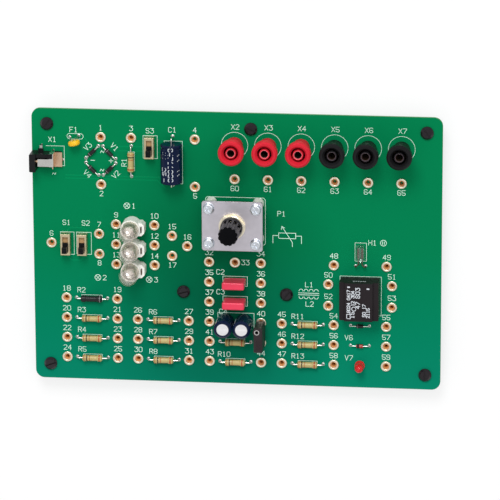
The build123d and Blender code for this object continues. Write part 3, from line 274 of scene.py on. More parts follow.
nodeFinish = {
    "circuit_board": "greenMask", "board_feet": "footRubber", "foot_screws": "blackNylon",
    "test_sockets": "tinnedRim", "safety_contacts": "darkBrassAndShade", "red_socket_bodies": "redShell",
    "black_socket_bodies": "blackShell", "jack_housing": "blackShell", "jack_centre_pin": "bronze",
    "jack_leaf_contact": "steel", "fuse_disc": "amberResin", "fuse_wires": "brightWire",
    "black_diodes": "glossEpoxy", "glass_diode": "redGlass", "diode_wires": "brightWire",
    "resistor_bodies": "tanLacquer", "resistor_wires": "brightWire", "black_resistor": "blackLacquer",
    "axial_capacitor": "navySleeve", "can_capacitor_sleeves": "navySleeve",
    "can_capacitors": "brightAluminium", "film_capacitors": "redResin", "capacitor_wires": "brightWire",
    "pot_plate": "plateAluminium", "pot_pillars": "whiteNylon", "pot_screws": "screwSteel",
    "pot_can": "steel", "pot_track": "brownLaminate", "pot_bushing": "paleGold", "pot_nut": "paleGold",
    "pot_terminals": "brightWire", "pot_shaft": "steel", "pot_wiper": "bronze", "pot_knob": "knobPlastic",
    "lamp_holders": "whiteNylon", "lamp_contacts": "darkBrassAndShade", "neon_glass": "clearGlass",
    "neon_electrodes": "darkBrassAndShade", "transformer_case": "blackEpoxy", "transformer_core": "ferrite",
    "transformer_windings": "copperWire", "component_pins": "brightWire", "led_lens": "redLens",
    "plug_body": "plugNylon", "plug_pins": "steel", "switch_frames": "frameSteel",
    "switch_bases": "tanPhenolic",
}
for number in (1, 2, 3):
    nodeFinish[f"bulb_{number}_cap"] = "paleGold"
    nodeFinish[f"bulb_{number}_glass"] = "lampGlass"
    nodeFinish[f"bulb_{number}_filament"] = "tungsten"
    nodeFinish[f"switch_slider_{number}"] = "blackShell"
for name, finishName in nodeFinish.items():
    nodes[name].data.materials.clear()
    nodes[name].data.materials.append(finishes[finishName])
print("finishes assigned to", len(nodeFinish), "nodes")


# mesh helpers

sharpDegrees = 35  # faces that meet at more than this keep a crisp edge
merge = {"turned": 1e-8, "node": 1e-6}  # points nearer than this, in metres, become one


def link(name, mesh):
    data = bpy.data.meshes.new(name)
    mesh.to_mesh(data)
    mesh.free()
    piece = bpy.data.objects.new(name, data)
    bpy.context.scene.collection.objects.link(piece)
    return piece


def addPiece(name, mesh, finishName, body="root"):
    bmesh.ops.recalc_face_normals(mesh, faces=mesh.faces)
    for face in mesh.faces:
        face.smooth = True
    piece = link(name, mesh)
    piece.data.set_sharp_from_angle(angle=math.radians(sharpDegrees))
    piece.data.materials.append(finishes[finishName])
    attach(piece, body)


# a ring turned about Z from a closed outline of (radius, height) in mm
def turnedRing(outline, steps):
    mesh = bmesh.new()
    corners = [mesh.verts.new((radius * mm, 0, height * mm)) for radius, height in outline]
    edges = [mesh.edges.new(pair) for pair in zip(corners, corners[1:] + corners[:1])]
    bmesh.ops.spin(mesh, geom=corners + edges, axis=(0, 0, 1), cent=(0, 0, 0),
                   angle=math.tau, steps=steps, use_merge=True)
    bmesh.ops.remove_doubles(mesh, verts=mesh.verts, dist=merge["turned"])
    return mesh


# copies of a small mesh set into a larger one
def stamp(target, shape, places):
    for place in places:
        copy = bpy.data.meshes.new("copy")
        shape.to_mesh(copy)
        copy.transform(place)
        target.from_mesh(copy)
        bpy.data.meshes.remove(copy)


# a flat line with round ends, in mm on the plane of place: one disc, pulled apart down its middle
def addLine(mesh, start, end, width, thickness, place):
    sides = 8
    along = Vector(end) - Vector(start)
    halfSide = Matrix.Rotation(math.pi / sides, 4, "Z")
    disc = bmesh.ops.create_circle(mesh, cap_ends=True, segments=sides, radius=width / 2, matrix=halfSide)
    ring = disc["verts"]
    for vert in ring:
        if vert.co.x > 0:
            vert.co.x += along.length
    raised = bmesh.ops.extrude_face_region(mesh, geom=[ring[0].link_faces[0]])
    top = [part for part in raised["geom"] if isinstance(part, bmesh.types.BMVert)]
    bmesh.ops.translate(mesh, verts=top, vec=(0, 0, thickness))
    turn = Matrix.Rotation(math.atan2(along.y, along.x), 4, "Z")
    start = Matrix.Translation((*start, 0))
    bmesh.ops.transform(mesh, matrix=place @ Matrix.Scale(mm, 4) @ start @ turn, verts=ring + top)


def addBox(mesh, low, high):
    middle = [(a + b) / 2 * mm for a, b in zip(low, high)]
    size = [(b - a) * mm for a, b in zip(low, high)]
    place = Matrix.Translation(middle) @ Matrix.Diagonal((*size, 1))
    bmesh.ops.create_cube(mesh, size=1.0, matrix=place)


# neighbouring strokes differ a little in thickness, so that no two tops lie in one plane where they cross
def addPath(mesh, points, pen, place):
    layers = {"share": 0.12, "count": 3}
    for index, (start, end) in enumerate(zip(points, points[1:])):
        thickness = pen["thickness"] * (1 + layers["share"] * (index % layers["count"]))
        addLine(mesh, start, end, pen["width"], thickness, place)


def arcPoints(centre, radius, first, last, count):
    angles = [math.radians(first + (last - first) * step / count) for step in range(count + 1)]
    return [(centre[0] + radius * math.cos(angle), centre[1] + radius * math.sin(angle)) for angle in angles]


def boxPoints(left, low, right, high):
    return [(left, low), (right, low), (right, high), (left, high), (left, low)]


# the separate solids of a CAD node, each as a list of its points, left to right; the points are sorted, so
# that every run adds them up in one order
def solidsOf(name):
    mesh = bmesh.new()
    mesh.from_mesh(nodes[name].data)
    bmesh.ops.remove_doubles(mesh, verts=mesh.verts, dist=merge["node"])
    found, groups = set(), []
    for first in mesh.verts:
        if first in found:
            continue
        found.add(first)
        front, group = [first], [first]
        while front:
            for edge in front.pop().link_edges:
                for vert in edge.verts:
                    if vert not in found:
                        found.add(vert)
                        group.append(vert)
                        front.append(vert)
        groups.append(sorted((vert.co.copy() for vert in group), key=tuple))
    mesh.free()
    return sorted(groups, key=lambda group: (min(p.x for p in group), min(p.y for p in group)))


def boxOf(points):
    low = Vector(min(p[axis] for p in points) for axis in range(3))
    high = Vector(max(p[axis] for p in points) for axis in range(3))
    return low, high


# where each wire of a node comes out under the board: its place and its radius in metres
def wireFeet(name):
    shortest = 1.0 * mm
    feet = []
    for points in solidsOf(name):
        under = [p for p in points if p.z < boardUnder - shortest]
        if under:
            low, high = boxOf(under)
            middle = (low + high) / 2
            feet.append((middle.x, middle.y, max(high.x - low.x, high.y - low.y) / 2))
    return feet


# the middle, heading and half length of a body that lies on the board
def lyingBody(points):
    middle = sum(points, Vector()) / len(points)
    xx = sum((p.x - middle.x) ** 2 for p in points)
    yy = sum((p.y - middle.y) ** 2 for p in points)
    xy = sum((p.x - middle.x) * (p.y - middle.y) for p in points)
    heading = 0.5 * math.atan2(2 * xy, xx - yy)
    along = Vector((math.cos(heading), math.sin(heading), 0))
    reaches = [(p - middle).dot(along) for p in points]
    middle += along * (max(reaches) + min(reaches)) / 2
    low, high = boxOf(points)
    middle.z = (low.z + high.z) / 2
    return middle, along, (max(reaches) - min(reaches)) / 2


# socket numbers and places come from the record; the two under the bridging plug follow their neighbours
sockets = {}
for mount in frame["record"]["mounts"]:
    if mount["name"].startswith("test_socket_"):
        sockets[int(mount["name"][-2:])] = (mount["pos_m"][0], mount["pos_m"][1])
sockets[40] = (sockets[38][0], sockets[39][1])
sockets[42] = (sockets[38][0], sockets[41][1])

# the planes of the board's top and of its underside, both from its near left corner
deck = Matrix.Translation((boardLow.x, boardLow.y, boardTop))
back = Matrix.Translation((boardLow.x, boardLow.y, boardUnder)) @ Matrix.Rotation(math.pi, 4, "X")


# metres in the frame, as mm from that corner
def onBoard(metres):
    return (metres[0] - boardLow.x) / mm, (metres[1] - boardLow.y) / mm


# lettering is drawn in pen strokes on a grid four wide and six high; "24" is a point 2 across and 4 up
penStrokes = {
    "0": ["10 01 05 16 36 45 41 30 10"], "1": ["15 26 20", "10 30"], "2": ["05 16 36 45 44 00 40"],
    "3": ["06 46 24 34 43 41 30 10 01"], "4": ["30 36 02 42"],
    "5": ["46 06 03 33 42 41 30 10 01"], "6": ["45 36 16 05 01 10 30 41 42 33 03"], "7": ["06 46 45 10"],
    "8": ["13 02 01 10 30 41 42 33 13 04 05 16 36 45 44 33"], "9": ["43 13 04 05 16 36 45 41 30 10 01"],
    "C": ["45 36 16 05 01 10 30 41"], "F": ["00 06 46", "03 33"], "H": ["00 06", "40 46", "03 43"],
    "L": ["06 00 40"], "P": ["00 06 36 45 44 33 03"], "R": ["00 06 36 45 44 33 03", "23 40"],
    "S": ["45 36 16 05 04 13 33 42 41 30 10 01"], "V": ["06 20 46"], "X": ["00 46", "06 40"],
    "+": ["03 43", "21 25"], "-": ["03 43"], "~": ["02 14 23 32 44"],
}


def addText(mesh, text, centre, pen, place, turn=0):
    grid = {"wide": 4, "high": 6}
    unit = pen["height"] / grid["high"]
    start = -((len(text) - 1) * pen["advance"] + grid["wide"] * unit) / 2
    place = place @ Matrix.Translation((centre[0] * mm, centre[1] * mm, 0)) \
        @ Matrix.Rotation(math.radians(turn), 4, "Z")
    for index, letter in enumerate(text):
        for path in penStrokes.get(letter, []):
            points = [(start + index * pen["advance"] + int(p[0]) * unit,
                       (int(p[1]) - grid["high"] / 2) * unit) for p in path.split()]
            addPath(mesh, points, pen, place)


# every place printed on the board is in mm from that corner too
pen = {"width": 0.3, "thickness": 0.04, "height": 2.8, "advance": 2.5}


def printNumbers():
    numbers = {"above": 5.4, "below": -5.5, "beside": 5.9}
    belowOnes, besideOnes = [2, 5, 8, 17, *range(60, 66)], [33]
    mesh = bmesh.new()
    for number, place in sockets.items():
        x, y = onBoard(place)
        if number in besideOnes:
            x += numbers["beside"]
        else:
            y += numbers["below"] if number in belowOnes else numbers["above"]
        addText(mesh, str(number), (x, y), pen, deck)
    addPiece("socket_numbers", mesh, "printWhite")


def printNames():
    names = {
        "F1": (24.0, 147.9), "X1": (11.7, 141.9), "S3": (67.6, 148.3), "C1": (80.4, 149.2),
        "S1": (19.1, 93.2), "S2": (30.2, 93.1), "C2": (107.4, 66.4), "C3": (107.4, 54.6), "C4": (108.9, 42.9),
        "L1": (158.2, 60.4), "L2": (158.5, 48.9), "V5": (180.9, 41.3), "V6": (180.9, 29.6),
        "V7": (181.0, 17.5), "P1": (142.4, 101.8), "H1": (194.2, 86.2), "R9": (108.9, 29.2),
        "R10": (109.3, 17.4), "~": (12.5, 121.8),
    }
    turnedNames = {"R1": (52.7, 129.4, 90), "V3": (32, 138.2, 45), "V1": (47.3, 138.3, -45),
                   "V4": (31.6, 122.1, -45), "V2": (47.9, 122.2, 45)}
    rows = {2: (27.2, 53.3, 4), 6: (68.4, 41.4, 3), 11: (151.7, 41.3, 3)}  # first number, top place, count
    rowStep = 11.84
    signPen = {"width": 0.36, "thickness": 0.04, "height": 3.3, "advance": 2.55}
    signs = [("-", (34.8, 130.2)), ("+", (45.2, 130.2)), ("~", (40.4, 135.4)), ("~", (40.0, 124.6))]
    safetyName = {"right": 0.4, "up": 10.6, "first": 2}
    mesh = bmesh.new()
    for name, centre in names.items():
        addText(mesh, name, centre, pen, deck)
    for name, (x, y, turn) in turnedNames.items():
        addText(mesh, name, (x, y), pen, deck, turn)
    for first, (x, y, count) in rows.items():
        for step in range(count):
            addText(mesh, f"R{first + step}", (x, y - rowStep * step), pen, deck)
    for sign, centre in signs:
        addText(mesh, sign, centre, signPen, deck)
    for index, (x, y) in enumerate(safetyMiddles()):
        centre = (x + safetyName["right"], y + safetyName["up"])
        addText(mesh, f"X{index + safetyName['first']}", centre, pen, deck)
    addPiece("part_names", mesh, "printWhite")


def safetyMiddles():
    middles = []
    for points in solidsOf("safety_contacts"):
        low, high = boxOf(points)
        middles.append(onBoard((low + high) / 2))
    return middles


def printOutlines():
    line = {"width": 0.26, "thickness": 0.04}
    boxes = {
        "S3": (63.7, 132.2, 71.8, 145.5), "S1": (15.5, 74.3, 23.4, 87.6), "S2": (24.8, 74.6, 33.3, 87.6),
        "C1": (75.7, 117.8, 86.1, 142.7), "H1": (184.3, 75.2, 190.8, 85.9),
        "transformer": (175.8, 43.1, 199.4, 66.1),
    }
    margins = {"resistor_bodies": -0.2, "black_resistor": -0.2, "film_capacitors": 0.7}
    jack = [(8.1, 138.1), (18.5, 138.1), (18.5, 126.6), (1.0, 126.6)]
    fuse = {"ends": [(21.8, 144.0), (27.9, 144.0)], "radius": 1.6, "steps": 8}
    plate = {"corners": [(131.7, 109.2), (100.6, 109.2), (100.6, 84.4), (131.7, 84.4)],
             "radius": 1.5, "steps": 4}
    bracket = [(105.8, 30.0), (105.8, 42.3), (126.6, 42.3), (126.6, 30.0)]
    safety = {"radius": 7.55, "steps": 40}
    mesh = bmesh.new()
    for box in boxes.values():
        addPath(mesh, boxPoints(*box), line, deck)
    for node, gap in margins.items():
        for points in solidsOf(node):
            low, high = boxOf(points)
            (left, near), (right, far) = onBoard(low), onBoard(high)
            addPath(mesh, boxPoints(left - gap, near - gap, right + gap, far + gap), line, deck)
    addPath(mesh, jack, line, deck)
    pill = arcPoints(fuse["ends"][0], fuse["radius"], 90, 270, fuse["steps"]) \
        + arcPoints(fuse["ends"][1], fuse["radius"], -90, 90, fuse["steps"])
    addPath(mesh, pill + pill[:1], line, deck)
    around = [point for corner, turn in zip(plate["corners"], (0, 90, 180, 270))
              for point in arcPoints(corner, plate["radius"], turn, turn + 90, plate["steps"])]
    addPath(mesh, around + around[:1], line, deck)
    addPath(mesh, bracket, line, deck)
    for centre in safetyMiddles():
        addPath(mesh, arcPoints(centre, safety["radius"], 0, 360, safety["steps"]), line, deck)
    addPiece("part_outlines", mesh, "printWhite")


# circuit symbols beside the parts they stand for
def printSymbols():
    line = {"width": 0.32, "thickness": 0.04}
    pot = {"left": 140.8, "right": 150.5, "low": 87.3, "high": 90.5, "leadOut": 3.3, "leadDown": 4.4,
           "arrow": [(142.6, 94.4), (148.6, 85.0), (148.6, 82.6)],
           "arrowHead": [(142.3, 92.6), (142.6, 94.4), (144.2, 93.4)]}
    lamps = {"1": (54.0, 104.0), "2": (36.8, 61.0), "3": (66.4, 60.6)}
    lamp = {"radius": 1.7, "steps": 20, "cross": 0.7, "number": 3.9}
    coil = {"middle": (157.9, 54.8), "length": 11.6, "rise": 1.7, "core": 0.55, "bumps": 4,
            "bumpShare": 0.8, "steps": 6}
    neon = {"middle": (200.4, 86.2), "gap": 0.5, "half": 0.8}
    mesh = bmesh.new()

    middle = (pot["low"] + pot["high"]) / 2
    addPath(mesh, boxPoints(pot["left"], pot["low"], pot["right"], pot["high"]), line, deck)
    for side, out in ((pot["left"], -pot["leadOut"]), (pot["right"], pot["leadOut"])):
        end = side + out
        addPath(mesh, [(side, middle), (end, middle), (end, middle - pot["leadDown"])], line, deck)
    addPath(mesh, pot["arrow"], line, deck)
    addPath(mesh, pot["arrowHead"], line, deck)

    for number, (x, y) in lamps.items():
        addPath(mesh, arcPoints((x, y), lamp["radius"], 0, 360, lamp["steps"]), line, deck)
        reach = lamp["radius"] * lamp["cross"]
        for side in (-1, 1):
            addPath(mesh, [(x - reach, y - side * reach), (x + reach, y + side * reach)], line, deck)
        addText(mesh, number, (x + lamp["number"], y), pen, deck)

    x, y = coil["middle"]
    half, bump = coil["length"] / 2, coil["length"] / coil["bumps"] / 2
    for side in (-1, 1):
        addPath(mesh, [(x - half, y + side * coil["core"]), (x + half, y + side * coil["core"])], line, deck)
        for step in range(coil["bumps"]):
            centre = (x - half + bump * (2 * step + 1), y + side * coil["rise"])
            turn = arcPoints(centre, bump * coil["bumpShare"], 0, 180 * side, coil["steps"])
            addPath(mesh, turn, line, deck)

    x, y = neon["middle"]
    addPath(mesh, arcPoints((x, y), lamp["radius"], 0, 360, lamp["steps"]), line, deck)
    for side in (-neon["gap"], neon["gap"]):
        addPath(mesh, [(x + side, y - neon["half"]), (x + side, y + neon["half"])], line, deck)
    addPiece("circuit_symbols", mesh, "printWhite")


printNumbers()
printNames()
printOutlines()
printSymbols()
print("board printed")


# solder: a pad and a fillet round every wire, above and below the board

def solderRing(radius, pad, height):
    toe = {"share": 0.6, "height": 0.1}
    waist = {"out": 0.12, "share": 0.45}
    return [(radius, 0), (pad, 0), (radius + (pad - radius) * toe["share"], toe["height"]),
            (radius + waist["out"], height * waist["share"]), (radius, height)]


def makeSolder():
    above = {"pad": 0.62, "height": 0.45, "steps": 12}
    below = {"pad": 0.95, "height": 1.15, "steps": 12}
    barrel = {"radius": 1.5, "pad": 2.6, "height": 1.0}  # round the tail of each test socket
    seenFromAbove = ["resistor_wires", "diode_wires", "capacitor_wires", "fuse_wires", "neon_electrodes"]
    hiddenAbove = ["component_pins", "pot_terminals", "lamp_contacts", "safety_contacts",
                   "jack_centre_pin", "jack_leaf_contact"]
    flip = Matrix.Rotation(math.pi, 4, "X")
    top, under = bmesh.new(), bmesh.new()
    for name in seenFromAbove + hiddenAbove:
        for x, y, radius in wireFeet(name):
            size = radius / mm
            if name in seenFromAbove:
                ring = turnedRing(solderRing(size, size + above["pad"], above["height"]), above["steps"])
                stamp(top, ring, [Matrix.Translation((x, y, boardTop))])
                ring.free()
            ring = turnedRing(solderRing(size, size + below["pad"], below["height"]), below["steps"])
            stamp(under, ring, [Matrix.Translation((x, y, boardUnder)) @ flip])
            ring.free()
    ring = turnedRing(solderRing(barrel["radius"], barrel["pad"], barrel["height"]), below["steps"])
    stamp(under, ring, [Matrix.Translation((x, y, boardUnder)) @ flip for x, y in sockets.values()])
    ring.free()
    addPiece("solder_above", top, "solder")
    addPiece("solder_below", under, "solder")


# tracks under the mask: short ones from each wire to its nearest socket, and long ones, thin above and
# wide below; "rim" keeps a track's end out of the socket's hole
def makeTracks():
    track = {"width": 1.1, "thickness": 0.03, "reach": 9.0, "rim": 1.9}
    thin = {"width": 0.7, "thickness": 0.03}
    longTop = [
        [(19.0, 121.2), (72.6, 121.2), (77.5, 116.6)], [(19.0, 119.4), (71.4, 119.4), (76.2, 114.8)],
        [(50.0, 138.8), (63.4, 138.8)], [(50.0, 136.2), (63.4, 136.2)], [(28.6, 145.0), (33.5, 139.2)],
        [(19.5, 73.6), (21.5, 71.0), (27.2, 71.0), (29.2, 73.6)],
        [(19.5, 88.6), (21.0, 90.2), (29.0, 90.2), (32.0, 88.0)],
        [(104.5, 85.2), (101.0, 81.0)], [(127.2, 85.2), (130.6, 80.0)],
    ]
    longBelow = [
        [(10.4, 81.2), (10.4, 108.0), (33.0, 118.0)],
        [(37.9, 87.1), (46.0, 93.0)], [(37.9, 75.2), (46.0, 69.4)],
        [(72.0, 93.0), (79.8, 87.1)], [(72.0, 69.4), (79.8, 75.2)], [(93.2, 116.3), (93.2, 98.0)],
        [(115.8, 121.4), (115.8, 141.2)], [(134.7, 121.4), (134.7, 141.2)], [(153.6, 121.4), (153.6, 141.2)],
        [(172.6, 121.4), (172.6, 141.2)], [(191.5, 121.4), (191.5, 141.2)], [(210.4, 121.4), (210.4, 141.2)],
        [(93.2, 144.0), (104.0, 150.0), (200.0, 150.0), (210.4, 146.0)],
    ]
    joined = ["resistor_wires", "capacitor_wires", "diode_wires", "neon_electrodes", "component_pins"]
    top, under = bmesh.new(), bmesh.new()
    mirror = Matrix.Scale(-1, 4, (0, 1, 0))
    ends = [onBoard(place) for place in sockets.values()]
    for name in joined:
        for x, y, radius in wireFeet(name):
            start = onBoard((x, y))
            nearest = min(ends, key=lambda end: math.dist(start, end))
            away = math.dist(start, nearest)
            if track["rim"] < away < track["reach"]:
                share = track["rim"] / away
                stop = [end + (begin - end) * share for begin, end in zip(start, nearest)]
                addPath(top, [start, stop], track, deck)
    for path in longTop:
        addPath(top, path, thin, deck)
    for path in longBelow:
        addPath(under, path, track, back @ mirror)
    addPiece("tracks_above", top, "trackMask")
    addPiece("tracks_below", under, "trackMask")


makeSolder()
makeTracks()
print("solder and tracks made")


# an orange-brown lining fills the funnel of each 2 mm socket down to its bore, and a second one covers the
# bore's wall and floor, except where the bridging plug's pins stand; its brighter orange is painted light
def makeSocketLiners():
    liner = {
        "funnel": [(1.75, 0.45), (1.62, 0.55), (1.06, -0.27), (1.2, -0.4)],
        "bore": [(1.036, -0.42), (1.016, -0.42), (1.016, -6.3), (0.02, -6.3), (0.02, -6.5), (1.036, -6.5)],
        "steps": 12,
    }
    plugLow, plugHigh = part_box("plug_pins")
    every = list(sockets.values())
    empty = [(x, y) for x, y in every
             if not (plugLow.x < x < plugHigh.x and plugLow.y < y < plugHigh.y)]
    for name, outline, places, finishName in (
            ("socket_liners", liner["funnel"], every, "funnelResin"),
            ("socket_bores", liner["bore"], empty, "borePaintedLight")):
        ring = turnedRing(outline, liner["steps"])
        mesh = bmesh.new()
        stamp(mesh, ring, [Matrix.Translation((x, y, boardTop)) for x, y in places])
        ring.free()
        addPiece(name, mesh, finishName)


# the insulating lip inside each safety socket covers the end of its brass sleeve; the left three are red;
# each lip is coloured lighter than its shell, as a painted highlight
def makeSafetyLips():
    lip = {"outline": [(2.1, 18.45), (2.57, 18.45), (2.57, 19.0), (2.4, 19.08), (2.1, 18.75)], "steps": 32}
    middles = safetyMiddles()
    for colour, spots in (("red", middles[:3]), ("black", middles[3:])):
        ring = turnedRing(lip["outline"], lip["steps"])
        mesh = bmesh.new()
        stamp(mesh, ring, [deck @ Matrix.Translation((x * mm, y * mm, 0)) for x, y in spots])
        ring.free()
        addPiece(f"{colour}_socket_lips", mesh, f"{colour}LipHighlight")


# a bright washer under each screw of the potentiometer's plate
def makePlateWashers():
    washer = {"outline": [(2.95, 0.0), (3.4, 0.0), (3.4, 0.3), (3.2, 0.42), (2.95, 0.3)], "steps": 32}
    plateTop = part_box("pot_plate")[1].z
    ring = turnedRing(washer["outline"], washer["steps"])
    mesh = bmesh.new()
    for points in solidsOf("pot_screws"):
        low, high = boxOf(points)
        middle = (low + high) / 2
        stamp(mesh, ring, [Matrix.Translation((middle.x, middle.y, plateTop))])
    ring.free()
    addPiece("plate_washers", mesh, "screwSteel")


# the pale cement dome that carries the filament inside each bulb; heights are from the top of the cap;
# its size and bright pale colour also stand for the globe's bright centre, a painted highlight
def makeLampStems():
    dome = {"outline": [(2.7, -0.5), (2.8, 1.4), (2.5, 2.6), (1.7, 3.7), (0.8, 4.3), (0.2, 4.4), (0.2, -0.5)],
            "steps": 28}
    for number in (1, 2, 3):
        capLow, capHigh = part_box(f"bulb_{number}_cap")
        middle = (capLow + capHigh) / 2
        outline = [(radius, capHigh.z / mm + height) for radius, height in dome["outline"]]
        mesh = turnedRing(outline, dome["steps"])
        bmesh.ops.translate(mesh, verts=mesh.verts, vec=(middle.x, middle.y, 0))
        addPiece(f"bulb_{number}_stem", mesh, "cementAndHighlight", f"bulb_{number}")


# two slips of the jack's housing, in mm: one over the leaf's bridge, placed from the leaf's right edge and
# its top, and one over the strap to the side lug, placed from the housing's left edge and the board
def makeJackCovers():
    housingLow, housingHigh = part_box("jack_housing")
    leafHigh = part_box("jack_leaf_contact")[1]
    bridge = {"back": 2.9, "front": 0.5, "near": 2.7, "past": 0.2, "low": 0.05, "high": 0.5}
    strap = {"edge": 0.2, "left": 3.9, "right": 6.9, "overlap": 0.6, "far": 1.6, "low": 2.0, "high": 2.7}
    mesh = bmesh.new()
    right, top = leafHigh.x / mm, leafHigh.z / mm
    near = (housingLow.y + housingHigh.y) / 2 / mm + bridge["near"]
    far = housingHigh.y / mm + bridge["past"]
    addBox(mesh, (right - bridge["back"], near, top + bridge["low"]),
           (right - bridge["front"], far, top + bridge["high"]))
    left, board = housingLow.x / mm + strap["edge"], boardTop / mm
    addBox(mesh, (left + strap["left"], far - strap["overlap"], board + strap["low"]),
           (left + strap["right"], leafHigh.y / mm - strap["far"], board + strap["high"]))
    addPiece("jack_covers", mesh, "blackShell")


makeSocketLiners()
makeSafetyLips()
makeJackCovers()
makePlateWashers()
makeLampStems()
print("socket liners, safety lips, jack covers, plate washers and lamp stems made")


# a colour band round a body that lies on the board; offset is a share of its half length, and a body that
# runs up the board has its first end at the top
def addBand(mesh, points, offset, width):
    band = {"sunk": 0.08, "proud": 0.03, "steps": 20, "nearPoints": 12}
    middle, along, half = lyingBody(points)
    reach = offset * half * (-1 if abs(along.y) > abs(along.x) else 1)
    near = sorted(points, key=lambda p: abs((p - middle).dot(along) - reach))[:band["nearPoints"]]
    radius = max(((p - middle) - along * (p - middle).dot(along)).length for p in near) / mm
    inner, outer = radius - band["sunk"], radius + band["proud"]
    ring = turnedRing([(inner, -width / 2), (outer, -width / 2), (outer, width / 2), (inner, width / 2)],
                      band["steps"])
    turn = along.to_track_quat("Z", "Y").to_matrix().to_4x4()
    stamp(mesh, ring, [Matrix.Translation(middle + along * reach) @ turn])
    ring.free()


# each row: the new piece, the node it goes round, its finish and slot, and the bands' offsets and width
def makeBands():
    bands = [
        ("resistor_bandDark", "resistor_bodies", "bandDark", "tan_lacquer", (-0.56,), 0.75),
        ("resistor_bandRed", "resistor_bodies", "bandRed", "tan_lacquer", (0.72,), 0.8),
        ("resistor_bandGold", "resistor_bodies", "bandGold", "tan_lacquer", (-0.26, -0.82), 0.7),
        ("diode_bands", "black_diodes", "bandPale", "black_epoxy", (-0.6,), 0.4),
        ("black_resistor_band", "black_resistor", "bandPale", "black_lacquer", (0.8,), 0.5),
        ("glass_diode_band", "glass_diode", "blackEpoxy", "red_glass", (-0.45,), 1.3),
    ]
    for name, node, finishName, slotName, offsets, width in bands:
        mesh = bmesh.new()
        for points in solidsOf(node):
            for offset in offsets:
                addBand(mesh, points, offset, width)
        addPiece(name, mesh, finishName)


# flat print rolled round a cylinder: x in mm becomes the way round, y stays along it
def wrapRound(mesh, radius):
    for vert in mesh.verts:
        angle, height = vert.co.x / (radius * mm), radius * mm + vert.co.z
        vert.co = Vector((height * math.sin(angle), vert.co.y, height * math.cos(angle)))


# the axial one's places are across and along its top, the cans' across and up their side
def markCapacitors():
    mark = {"width": 0.42, "thickness": 0.03, "height": 2.6, "advance": 2.5}
    dash = {"width": 0.8, "thickness": 0.03}
    axial = {
        "words": {"0471": (0.3, 5.4), "1000": (0.3, -4.6), "25": (-3.8, -3.6), "-": (-3.8, -8.6)},
        "bars": {"from": -4.6, "to": -2.6, "along": (4.0, 6.2, 7.4)},
        "slants": {"from": 4.4, "to": 5.6, "rise": 0.6, "along": (-6.0, -3.5, 2.5, 5.5)},
    }
    can = {"turns": (-2.2, 0.9), "dashes": 4, "first": -4.2, "step": 2.4, "dash": 1.0,
           "word": "47", "beside": 3.2}
    low, high = boxOf(solidsOf("axial_capacitor")[0])
    middle = (low + high) / 2
    radius = (high.x - low.x) / 2 / mm
    flat = Matrix.Identity(4)
    mesh = bmesh.new()
    for word, centre in axial["words"].items():
        addText(mesh, word, centre, mark, flat, -90)
    bars, slants = axial["bars"], axial["slants"]
    for y in bars["along"]:
        addPath(mesh, [(bars["from"], y), (bars["to"], y)], mark, flat)
    for y in slants["along"]:
        addPath(mesh, [(slants["from"], y), (slants["to"], y + slants["rise"])], mark, flat)
    wrapRound(mesh, radius)
    bmesh.ops.translate(mesh, verts=mesh.verts, vec=middle)
    addPiece("axial_capacitor_print", mesh, "printPale")

    mesh = bmesh.new()
    for points in solidsOf("can_capacitor_sleeves"):
        low, high = boxOf(points)
        middle, radius = (low + high) / 2, (high.x - low.x) / 2 / mm
        band = bmesh.new()
        for turn in can["turns"]:
            x = turn * radius
            for step in range(can["dashes"]):
                y = can["first"] + can["step"] * step
                addPath(band, [(x, y), (x, y + can["dash"])], dash, flat)
            addText(band, can["word"], (x + can["beside"], 0.0), mark, flat, 90)
        wrapRound(band, radius)
        upright = Matrix.Rotation(math.pi / 2, 3, "X")
        bmesh.ops.rotate(band, verts=band.verts, cent=(0, 0, 0), matrix=upright)
        bmesh.ops.translate(band, verts=band.verts, vec=middle)
        stamp(mesh, band, [Matrix.Identity(4)])
        band.free()
    addPiece("can_capacitor_print", mesh, "printPale")


def markTransformer():
    small = {"width": 0.4, "thickness": 0.03, "height": 1.7, "advance": 1.5}
    large = {"width": 0.46, "thickness": 0.03, "height": 2.3, "advance": 2.2}
    dash = {"width": 0.6, "thickness": 0.03}
    dot = {"width": 0.9, "thickness": 0.03, "half": 0.4, "places": ((5.4, 8.2), (-5.6, 9.0))}
    smallRows = {"8024 0417": (-5.6, 0.6), "12 304": (-3.2, 2.4), "50 17": (3.2, -4.6), "2115": (5.4, -6.0)}
    largeRows = {"603": (-0.4, 5.6), "47": (-0.4, -1.6), "15": (-3.6, -7.4)}
    ringMark = {"centre": (-2.6, -3.8), "radius": 1.2, "steps": 16}
    boxMark = (-6.6, -9.6, -4.6, -7.0)
    sideRow = {"count": 8, "step": 0.95, "start": 3.3, "half": 0.3, "up": 2}
    low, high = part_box("transformer_case")
    middle = (low + high) / 2
    top = Matrix.Translation((middle.x, middle.y, high.z))
    mesh = bmesh.new()
    for rowPen, rows in ((small, smallRows), (large, largeRows)):
        for text, centre in rows.items():
            addText(mesh, text, centre, rowPen, top, 90)
    for x, y in dot["places"]:
        addPath(mesh, [(x - dot["half"], y), (x + dot["half"], y)], dot, top)
    addPath(mesh, arcPoints(ringMark["centre"], ringMark["radius"], 0, 360, ringMark["steps"]), small, top)
    addPath(mesh, boxPoints(*boxMark), small, top)
    side = Matrix.Translation((middle.x, high.y, middle.z + sideRow["up"] * mm)) \
        @ Matrix.Rotation(-math.pi / 2, 4, "X")
    for step in range(sideRow["count"]):
        x = sideRow["step"] * step - sideRow["start"]
        addPath(mesh, [(x, -sideRow["half"]), (x, sideRow["half"])], dash, side)
    addPiece("transformer_print", mesh, "printPale")


makeBands()
markCapacitors()
markTransformer()
print("bands and marks made")


# stage, lights and camera

